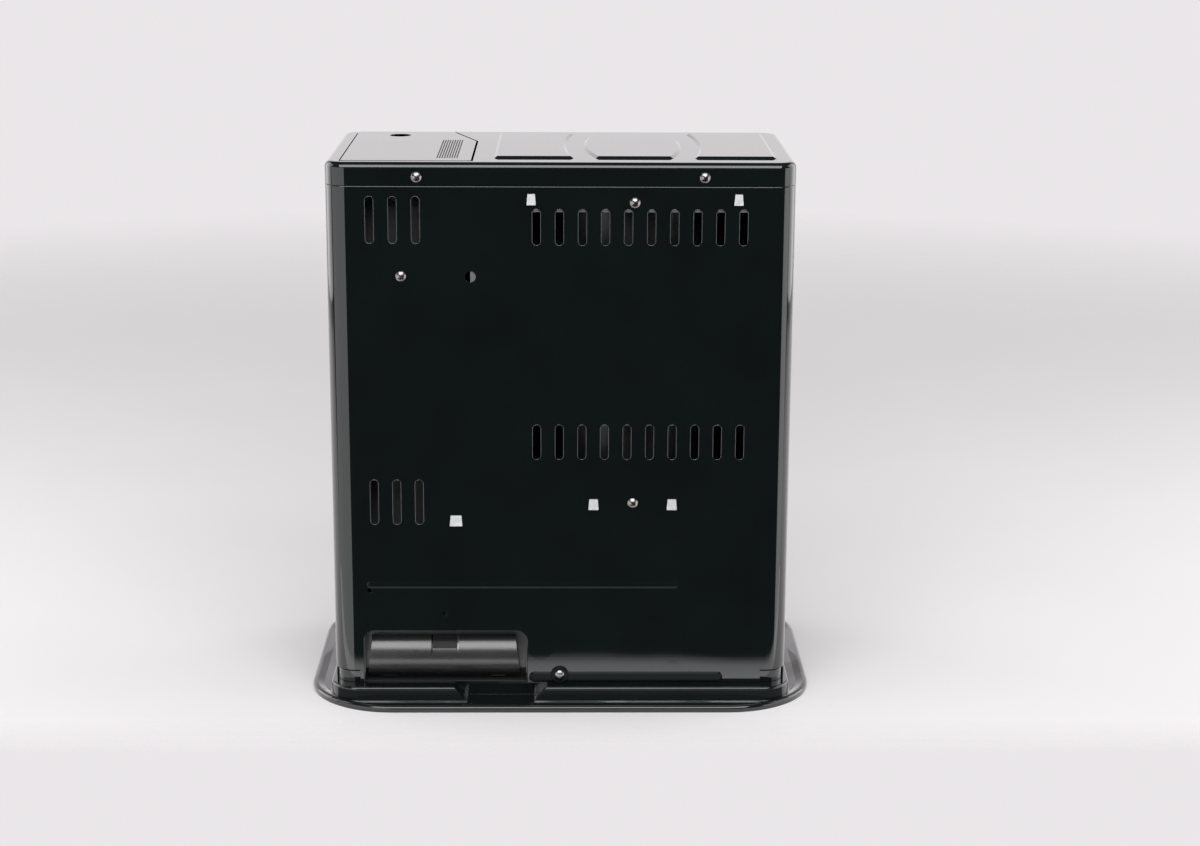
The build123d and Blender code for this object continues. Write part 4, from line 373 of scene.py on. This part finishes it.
def satin_paint(name, colour, low, high):
    shader = Shader(name)
    shader.tinted(shader.noise(0.05), colour, change=0.05)
    shader.rough(shader.noise(0.02, detail=4.0), low, high)
    shader.bump(shader.noise(0.0012), height=0.006 * MM)
    return shader.material


def plated(name, colour, low, high, line=(1.0, 1.0, 1.0)):
    """Bright plating: drawn lines along one way, with duller smears."""
    shader = Shader(name)
    shader.tinted(shader.noise(0.006), colour, change=0.07)
    shader.rough(shader.noise(0.003, detail=4.0), low, high)
    shader.bump(shader.noise(0.0005, stretch=line), height=0.006 * MM)
    shader.set(metallic=1.0)
    return shader.material


def moulded(name, colour, low, high, grain=0.7 * MM, depth=0.02 * MM):
    """Moulded plastic with a spark-eroded grain."""
    shader = Shader(name)
    shader.tinted(shader.noise(0.02), colour, change=0.08)
    shader.rough(shader.noise(0.012, detail=4.0), low, high)
    shader.bump(shader.noise(grain, detail=4.0), depth)
    return shader.material


def case_plastic():
    """Satin battery cover: fine drawn grain along it, and dulled as painted shade in the finger hollow and at
    its lower edge.
    """
    shader = Shader("case_plastic")
    shader.tinted(shader.noise(0.02), (0.012, 0.0117, 0.012), change=0.1)
    shader.rough(shader.noise(0.01, detail=4.0, stretch=(0.2, 1.0, 1.0)), low=0.24, high=0.34)
    shader.bump(shader.noise(0.0008, detail=4.0, stretch=(0.06, 1.0, 1.0)), height=0.018 * MM)
    shader.bump(shader.noise(0.03, detail=1.0), height=0.08 * MM)
    shader.set(ior=1.75, coat_roughness=0.3)
    dulled(shader, [finger_hollow, under_cover])
    return shader.material


def glass(name, colour, wave):
    shader = Shader(name)
    shader.rough(shader.noise(0.02), low=0.01, high=0.035)
    shader.bump(shader.noise(0.03, detail=1.0, stretch=(1.0, 1.0, 0.3)), wave)
    shader.set(base_color=(*colour, 1.0), transmission_weight=1.0, ior=1.47)
    return shader.material


def flame_steel():
    """Heat-proof steel with straw and blue temper colours in soft bands."""
    shader = Shader("flame_steel")
    stops = [
        (0.30, (0.52, 0.50, 0.48)),
        (0.48, (0.50, 0.43, 0.34)),
        (0.60, (0.36, 0.33, 0.36)),
        (0.75, (0.50, 0.49, 0.49)),
    ]
    shade = shader.colours(shader.noise(0.05, detail=2.0, stretch=(0.4, 0.4, 1.0)), stops)
    shader.link(shade, shader.surface.inputs["Base Color"])
    shader.rough(shader.noise(0.006, detail=4.0), low=0.3, high=0.46)
    shader.bump(shader.noise(0.0009), height=0.01 * MM)
    shader.set(metallic=1.0)
    return shader.material


def wick_cloth():
    """Woven glass fibre: crossed yarns round the ring, darker towards the burning edge."""
    shader = Shader("wick_fibre")
    weft = shader.add("ShaderNodeTexWave", Scale=170.0, Distortion=1.2)
    weft.bands_direction = "Z"
    weft.inputs["Detail Scale"].default_value = 3.0
    shader.link(shader.place, weft.inputs["Vector"])
    warp = shader.add("ShaderNodeTexWave", Scale=210.0, Distortion=1.5)
    warp.bands_direction = "DIAGONAL"
    shader.link(shader.stretched((1.0, 1.0, 0.0)), warp.inputs["Vector"])
    shader.bump(weft.outputs["Fac"], height=0.22 * MM)
    shader.bump(warp.outputs["Fac"], height=0.18 * MM)
    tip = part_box("wick")[1].z
    burnt = shader.spread(shader.split()[2], 0.0, 1.0, tip - WICK_BURNT, tip)
    stops = [(0.0, (0.72, 0.70, 0.63)), (0.7, (0.60, 0.55, 0.46)), (1.0, (0.16, 0.13, 0.10))]
    shader.link(shader.colours(burnt, stops), shader.surface.inputs["Base Color"])
    shader.set(roughness=0.85, sheen_weight=0.2)
    return shader.material


def cell_sleeve():
    """Plain printed sleeve: a dark green body and silver bands at the ends of each cell."""
    shader = Shader("cell_wrap")
    low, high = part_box("battery_cells")
    along = shader.spread(shader.split()[0], 0.0, CELL_COUNT, low.x, high.x)
    turns = shader.add("ShaderNodeMath", operation="FRACT")
    shader.link(along, turns.inputs[0])
    stops = [
        (0.0, CELL_SILVER),
        (0.06, CELL_SILVER),
        (0.07, CELL_GREEN),
        (0.78, CELL_GREEN),
        (0.79, CELL_SILVER),
        (1.0, CELL_SILVER),
    ]
    shader.link(shader.colours(turns.outputs["Value"], stops), shader.surface.inputs["Base Color"])
    shader.rough(shader.noise(0.01), low=0.2, high=0.32)
    shader.bump(shader.noise(0.004), height=0.02 * MM)
    shader.set(metallic=0.35)
    return shader.material


def rubber():
    shader = Shader("rubber_black")
    shader.tinted(shader.noise(0.01), (0.02, 0.02, 0.02), change=0.15)
    shader.rough(shader.noise(0.004, detail=4.0), low=0.6, high=0.8)
    shader.bump(shader.noise(0.0006, detail=4.0), height=0.03 * MM)
    return shader.material


def print_ink(name, colour):
    shader = Shader(name)
    shader.tinted(shader.noise(0.004, detail=5.0), colour, change=0.12)
    shader.rough(shader.noise(0.003, detail=5.0), low=0.45, high=0.6)
    shader.bump(shader.noise(0.0004), height=0.004 * MM)
    return shader.material


def make_finishes():
    """The finish of each material slot. A colour is followed by its lowest and highest roughness."""
    smooth = {"grain": 0.5 * MM, "depth": 0.006 * MM}
    return {
        "enamel_black": enamel("enamel_black", (0.0050, 0.0074, 0.0079), 0.035, 0.075, casing_beads),
        "tray_black": enamel("tray_black", (0.0062, 0.0085, 0.0085), 0.03, 0.06, tray_wall),
        "zinc_steel": zinc(),
        "bright_reflector": reflector_metal(),
        "grey_tank": satin_paint("grey_tank", (0.19, 0.20, 0.205), 0.32, 0.45),
        # The cartridge's paint is given a darker grey than its own: painted shade for the inside of the
        # heater.
        "cartridge_paint": satin_paint("cartridge_paint", (0.12, 0.123, 0.125), 0.28, 0.4),
        "steel_wire": plated("steel_wire", (0.76, 0.77, 0.78), 0.1, 0.22, line=(0.1, 1.0, 1.0)),
        "plated_steel": plated("plated_steel", (0.36, 0.34, 0.33), 0.16, 0.3),
        "black_plastic": moulded("black_plastic", (0.010, 0.0105, 0.011), 0.34, 0.46),
        "case_plastic": case_plastic(),
        "control_plastic": moulded("control_plastic", (0.015, 0.015, 0.016), 0.2, 0.3, **smooth),
        "red_plastic": moulded("red_plastic", (0.48, 0.02, 0.015), 0.22, 0.34, **smooth),
        "clear_window": glass("clear_window", (0.95, 0.97, 0.97), wave=0.02 * MM),
        "burner_glass": glass("burner_glass", (0.97, 0.985, 0.98), wave=0.1 * MM),
        "flame_steel": flame_steel(),
        "wick_fibre": wick_cloth(),
        "rubber_black": rubber(),
        "brass_part": plated("brass_part", (0.72, 0.54, 0.26), 0.16, 0.3),
        "cell_wrap": cell_sleeve(),
        "glow_wire": plated("glow_wire", (0.42, 0.40, 0.37), 0.28, 0.42),
        "cap_plastic": moulded("cap_plastic", (0.035, 0.036, 0.038), 0.35, 0.5),
    }


def dress_cad_nodes(finishes):
    """Every CAD node gets its finish, and smooth shading between its sharp edges."""
    for part in frame["record"]["subparts"]:
        node = NODES[part["node"]]
        node.data.materials.clear()
        node.data.materials.append(finishes[part["material_slot"]])
        node.data.polygons.foreach_set("use_smooth", [True] * len(node.data.polygons))
        node.data.set_sharp_from_angle(angle=SMOOTH_ANGLE)


def mesh_piece(name, shape, finish, body):
    """A mesh object from a bmesh, riding on a body."""
    mesh = bpy.data.meshes.new(name)
    bmesh.ops.recalc_face_normals(shape, faces=shape.faces)
    shape.to_mesh(mesh)
    shape.free()
    mesh.materials.append(finish)
    piece = bpy.data.objects.new(name, mesh)
    bpy.context.collection.objects.link(piece)
    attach(piece, body)
    return piece


def add_prism(shape, outline, low, high, place):
    """A prism from an outline of (u, v) points, between two heights, set by place."""
    rings = [[shape.verts.new(place @ Vector((u, v, height))) for u, v in outline] for height in (low, high)]
    shape.faces.new(list(reversed(rings[0])))
    shape.faces.new(rings[1])
    count = len(outline)
    for index in range(count):
        after = (index + 1) % count
        shape.faces.new([rings[0][index], rings[0][after], rings[1][after], rings[1][index]])


def polar(radius, angle):
    return radius * math.cos(angle), radius * math.sin(angle)


def rounded_bar(length, width, steps=6):
    """Outline of a bar with half-round ends, along u."""
    radius = width / 2
    straight = length / 2 - radius
    points = []
    for side in (1, -1):
        for step in range(steps + 1):
            u, v = polar(radius, math.radians(-90 + 180 * step / steps))
            points.append((side * (straight + u), side * v))
    return points


# Slots of the casing's back: first slot's X, number of slots, height of their middle and length.
SLOT_ROWS = (
    (19.9, 10, 410.2, 30.0),
    (19.9, 10, 229.0, 30.0),
    (156.2, 3, 416.0, 39.0),
    (156.2, 3, 176.8, 39.0),
)
SLOT_PITCH = 18.84 * MM
SLOT_WIDTH = 7.0 * MM
SLOT_END_STEPS = 14
SLOT_EDGE = 0.2 * MM
SLOT_EDGE_SIDES = 8
SLOT_EDGE_SINK = 0.02 * MM


def add_slot_edge(shape, outline, centre):
    """A thin bead round one slot, whose outline runs along Z and across X."""
    rings = []
    for index, (along, across) in enumerate(outline):
        before = Vector(outline[index - 1])
        after = Vector(outline[(index + 1) % len(outline)])
        way = (after - before).normalized()
        ring = []
        for step in range(SLOT_EDGE_SIDES):
            out, forward = polar(SLOT_EDGE, 2 * math.pi * step / SLOT_EDGE_SIDES)
            spot = (across - out * way.x, forward, along + out * way.y)
            ring.append(shape.verts.new(centre + Vector(spot)))
        rings.append(ring)
    for index, ring in enumerate(rings):
        after = rings[(index + 1) % len(rings)]
        for step in range(SLOT_EDGE_SIDES):
            turn = (step + 1) % SLOT_EDGE_SIDES
            face = shape.faces.new((ring[step], ring[turn], after[turn], after[step]))
            face.smooth = True


def make_slot_edges(finish):
    """The rounded cut edge of each vent slot."""
    shape = bmesh.new()
    for start, count, height, length in SLOT_ROWS:
        outline = rounded_bar(length * MM, SLOT_WIDTH, SLOT_END_STEPS)
        for index in range(count):
            across = start * MM - index * SLOT_PITCH
            centre = Vector((across, CASING_BACK - SLOT_EDGE_SINK, height * MM))
            add_slot_edge(shape, outline, centre)
    return mesh_piece("slot_edges", shape, finish, "heater")


# Printed patch on the lid: plain bars in place of any wording.
PATCH_X = (84.5 * MM, 102.9 * MM)
PATCH_Y = (-28 * MM, 88 * MM)
PATCH_BARS = 9
PATCH_FILL = 0.5
PRINT_THICKNESS = 0.06 * MM


def make_lid_bars(finish):
    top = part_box("tank_lid")[1].z
    shape = bmesh.new()
    pitch = (PATCH_X[1] - PATCH_X[0]) / PATCH_BARS
    length = PATCH_Y[1] - PATCH_Y[0]
    middle = sum(PATCH_Y) / 2
    outline = rounded_bar(length, pitch * PATCH_FILL)
    quarter = Matrix.Rotation(math.radians(90), 4, "Z")
    for index in range(PATCH_BARS):
        place = Matrix.Translation((PATCH_X[0] + pitch * (index + 0.5), middle, top))
        add_prism(shape, outline, 0.0, PRINT_THICKNESS, place @ quarter)
    return mesh_piece("lid_print_bars", shape, finish, "lid")


# Marks round the wick knob: a wedge that grows with the flame, ticks outside it, and the knob's pointer.
DIAL_GAP = 4.0 * MM
DIAL_START = math.radians(215)
DIAL_SWEEP = math.radians(-95)
WEDGE_STEPS = 24
WEDGE_START = 0.4 * MM
WEDGE_GROWTH = 3.2 * MM
DIAL_TICKS = 9
TICK_REACH = 6.4 * MM
TICK_LENGTH = 2.6 * MM
MARK_WIDTH = 0.7 * MM
MARK_STEPS = 4
POINTER_REACH = 13.0 * MM
POINTER_LENGTH = 8.0 * MM
POINTER_WIDTH = 1.4 * MM
POINTER_STEPS = 5


def facing(x, y, z):
    """Sets u to the right as seen from the front, v up and height out of a front face at that place."""
    turn = Matrix(((1, 0, 0), (0, 0, -1), (0, 1, 0))).to_4x4()
    return Matrix.Translation((x, y, z)) @ turn


def front_place(x, z):
    """The same for a place on the control panel."""
    return facing(x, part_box("control_panel")[0].y, z)


def make_dial_marks(finish):
    low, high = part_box("wick_knob")
    radius = (high.x - low.x) / 2 + DIAL_GAP
    place = front_place((low.x + high.x) / 2, (low.z + high.z) / 2)
    shape = bmesh.new()
    inner = []
    outer = []
    for step in range(WEDGE_STEPS + 1):
        share = step / WEDGE_STEPS
        angle = DIAL_START + DIAL_SWEEP * share
        inner.append(polar(radius, angle))
        outer.append(polar(radius + WEDGE_START + WEDGE_GROWTH * share, angle))
    add_prism(shape, inner + outer[::-1], 0.0, PRINT_THICKNESS, place)
    tick = rounded_bar(TICK_LENGTH, MARK_WIDTH, MARK_STEPS)
    for index in range(DIAL_TICKS):
        angle = DIAL_START + DIAL_SWEEP * index / (DIAL_TICKS - 1)
        turn = Matrix.Rotation(angle, 4, "Z") @ Matrix.Translation((radius + TICK_REACH, 0, 0))
        add_prism(shape, tick, 0.0, PRINT_THICKNESS, place @ turn)
    return mesh_piece("dial_marks", shape, finish, "heater")


def make_knob_line(finish):
    """White pointer line on the knob's face."""
    low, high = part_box("wick_knob")
    spin = Matrix.Rotation(DIAL_START, 4, "Z") @ Matrix.Translation((POINTER_REACH, 0, 0))
    place = facing((low.x + high.x) / 2, low.y, (low.z + high.z) / 2) @ spin
    shape = bmesh.new()
    pointer = rounded_bar(POINTER_LENGTH, POINTER_WIDTH, POINTER_STEPS)
    add_prism(shape, pointer, 0.0, PRINT_THICKNESS, place)
    return mesh_piece("knob_pointer", shape, finish, "knob")


# Level marks beside the gauge window: the first and last stand at these shares of its height.
GAUGE_MARKS = 7
GAUGE_SPAN = (0.12, 0.88)
GAUGE_GAP = 2.5 * MM
GAUGE_LONG = 5.0 * MM
GAUGE_SHORT = 3.0 * MM


def make_gauge_scale(finish):
    """Level marks beside the gauge window, longest at empty, half and full."""
    low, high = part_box("gauge_window")
    shape = bmesh.new()
    last = GAUGE_MARKS - 1
    for index in range(GAUGE_MARKS):
        length = GAUGE_LONG if index in (0, GAUGE_MARKS // 2, last) else GAUGE_SHORT
        share = GAUGE_SPAN[0] + (GAUGE_SPAN[1] - GAUGE_SPAN[0]) * index / last
        place = front_place(high.x + GAUGE_GAP + length / 2, low.z + (high.z - low.z) * share)
        add_prism(shape, rounded_bar(length, MARK_WIDTH, MARK_STEPS), 0.0, PRINT_THICKNESS, place)
    return mesh_piece("gauge_marks", shape, finish, "heater")


# Printed ring round the extinguish button.
RING_GAP = 2.4 * MM
RING_WIDTH = 0.9 * MM
RING_STEPS = 48


def make_button_ring(finish):
    """Thin ring that stands clear of the button all round."""
    low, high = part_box("extinguish_button")
    place = front_place((low.x + high.x) / 2, (low.z + high.z) / 2)
    inner = (high.x - low.x) / 2 + RING_GAP
    outer = inner + RING_WIDTH
    shape = bmesh.new()
    for step in range(RING_STEPS):
        start, end = (2 * math.pi * turn / RING_STEPS for turn in (step, step + 1))
        corners = [polar(inner, start), polar(outer, start), polar(outer, end), polar(inner, end)]
        add_prism(shape, corners, 0.0, PRINT_THICKNESS, place)
    return mesh_piece("button_ring", shape, finish, "heater")


def camera_axes():
    forward = Vector(
        (
            math.sin(CAMERA_YAW) * math.cos(CAMERA_PITCH),
            -math.cos(CAMERA_YAW) * math.cos(CAMERA_PITCH),
            -math.sin(CAMERA_PITCH),
        )
    )
    level = Vector((-math.cos(CAMERA_YAW), -math.sin(CAMERA_YAW), 0.0))
    upward = level.cross(forward)
    right = math.cos(CAMERA_ROLL) * level + math.sin(CAMERA_ROLL) * upward
    up = -math.sin(CAMERA_ROLL) * level + math.cos(CAMERA_ROLL) * upward
    return right, up, forward


def make_camera():
    right, up, forward = camera_axes()
    data = bpy.data.cameras.new("photo_camera")
    data.sensor_fit = "HORIZONTAL"
    data.sensor_width = SENSOR_WIDTH
    data.lens = FOCAL_PIXELS * SENSOR_WIDTH / PHOTO_WIDTH
    data.clip_end = CAMERA_REACH
    camera = bpy.data.objects.new("photo_camera", data)
    bpy.context.collection.objects.link(camera)
    axes = Matrix((right, up, -forward)).transposed().to_4x4()
    camera.matrix_world = Matrix.Translation(CAMERA_PLACE) @ axes
    bpy.context.scene.camera = camera


def add_softbox(name, place, target, width, height, radiance):
    """An area lamp of that radiance, aimed at the target and not seen by the camera itself."""
    data = bpy.data.lights.new(name, "AREA")
    data.shape = "RECTANGLE"
    data.size = width
    data.size_y = height
    data.energy = radiance * math.pi * width * height
    lamp = bpy.data.objects.new(name, data)
    bpy.context.collection.objects.link(lamp)
    lamp.location = place
    lamp.rotation_euler = (Vector(target) - Vector(place)).to_track_quat("-Z", "Y").to_euler()
    lamp.visible_camera = False


def make_floor():
    """A pale sheet under the heater that fades out at its edge towards the camera."""
    mesh = bpy.data.meshes.new("floor")
    corners = [
        (-FLOOR_RADIUS, -FLOOR_RADIUS, 0),
        (FLOOR_RADIUS, -FLOOR_RADIUS, 0),
        (FLOOR_RADIUS, FLOOR_FRONT + FLOOR_FADE, 0),
        (-FLOOR_RADIUS, FLOOR_FRONT + FLOOR_FADE, 0),
    ]
    mesh.from_pydata(corners, [], [(0, 1, 2, 3)])
    shader = Shader("floor_paper")
    shader.tinted(shader.noise(0.4), FLOOR_COLOUR, change=0.012)
    shader.rough(shader.noise(0.2), low=0.62, high=0.7)
    shader.bump(shader.noise(0.001), height=0.01 * MM)
    near = shader.spread(shader.split()[1], 1.0, 0.0, FLOOR_FRONT - FLOOR_FADE, FLOOR_FRONT)
    reach = shader.add("ShaderNodeVectorMath", operation="LENGTH")
    shader.link(shader.place, reach.inputs[0])
    around = shader.spread(reach.outputs["Value"], 1.0, 0.0, FLOOR_KEPT, FLOOR_RADIUS)
    shader.link(multiplied(shader, [near, around]), shader.surface.inputs["Alpha"])
    mesh.materials.append(shader.material)
    floor = bpy.data.objects.new("floor", mesh)
    bpy.context.collection.objects.link(floor)


def make_surroundings():
    """Soft sky, dark below the horizon on the camera's side, and a pale background on the far side."""
    world = bpy.data.worlds.new("surroundings")
    world.use_nodes = True
    tree = world.node_tree
    tree.nodes.clear()

    def spread(source, low, high, start, end):
        scaled = tree.nodes.new("ShaderNodeMapRange")
        for name, value in (("From Min", start), ("From Max", end), ("To Min", low), ("To Max", high)):
            scaled.inputs[name].default_value = value
        tree.links.new(source, scaled.inputs["Value"])
        return scaled.outputs["Result"]

    def joined(operation, first, second):
        choice = tree.nodes.new("ShaderNodeMath")
        choice.operation = operation
        tree.links.new(first, choice.inputs[0])
        tree.links.new(second, choice.inputs[1])
        return choice.outputs["Value"]

    def background(colour, strength):
        shade = tree.nodes.new("ShaderNodeBackground")
        shade.inputs["Color"].default_value = (*colour, 1)
        tree.links.new(strength, shade.inputs["Strength"])
        return shade.outputs["Background"]

    place = tree.nodes.new("ShaderNodeTexCoord")
    parts = tree.nodes.new("ShaderNodeSeparateXYZ")
    tree.links.new(place.outputs["Generated"], parts.inputs["Vector"])
    y, z = parts.outputs["Y"], parts.outputs["Z"]
    sky = spread(z, DARK_LEVEL, SKY_LEVEL, *HORIZON)
    behind = joined("MULTIPLY", spread(y, 0.0, 1.0, *FAR_SIDE), spread(z, 1.0, 0.0, *HAZE))
    light = background((1, 1, 1), spread(z, DARK_LEVEL, SKY_FILL, *HORIZON))
    seen = background(BACKGROUND_COLOUR, joined("MAXIMUM", behind, sky))
    path = tree.nodes.new("ShaderNodeLightPath")
    direct = joined("MAXIMUM", path.outputs["Is Camera Ray"], path.outputs["Is Glossy Ray"])
    mirrored = joined("MAXIMUM", direct, path.outputs["Is Transmission Ray"])
    mix = tree.nodes.new("ShaderNodeMixShader")
    output = tree.nodes.new("ShaderNodeOutputWorld")
    tree.links.new(mirrored, mix.inputs["Fac"])
    tree.links.new(light, mix.inputs[1])
    tree.links.new(seen, mix.inputs[2])
    tree.links.new(mix.outputs["Shader"], output.inputs["Surface"])
    bpy.context.scene.world = world


def make_lights():
    """The softboxes, and flat lamps on the floor that shine upwards: the bright table top."""
    for softbox in SOFTBOXES:
        add_softbox(*softbox)
    for near, far, radiance in STRIPS:
        middle = (near + far) / 2
        place = (0.0, middle, STRIP_HEIGHT)
        target = (0.0, middle, STRIP_TARGET_HEIGHT)
        add_softbox("floor_strip", place, target, STRIP_WIDTH, far - near, radiance)


finishes = make_finishes()
dress_cad_nodes(finishes)
grey_ink = print_ink("grey_ink", (0.045, 0.045, 0.047))
white_ink = print_ink("white_ink", (0.72, 0.72, 0.70))
make_slot_edges(plated("cut_edge", (0.24, 0.245, 0.25), 0.1, 0.2))
make_lid_bars(grey_ink)
make_dial_marks(white_ink)
make_knob_line(white_ink)
make_gauge_scale(white_ink)
make_button_ring(white_ink)
make_camera()
make_floor()
make_surroundings()
make_lights()
bpy.context.scene.view_settings.view_transform = "Standard"
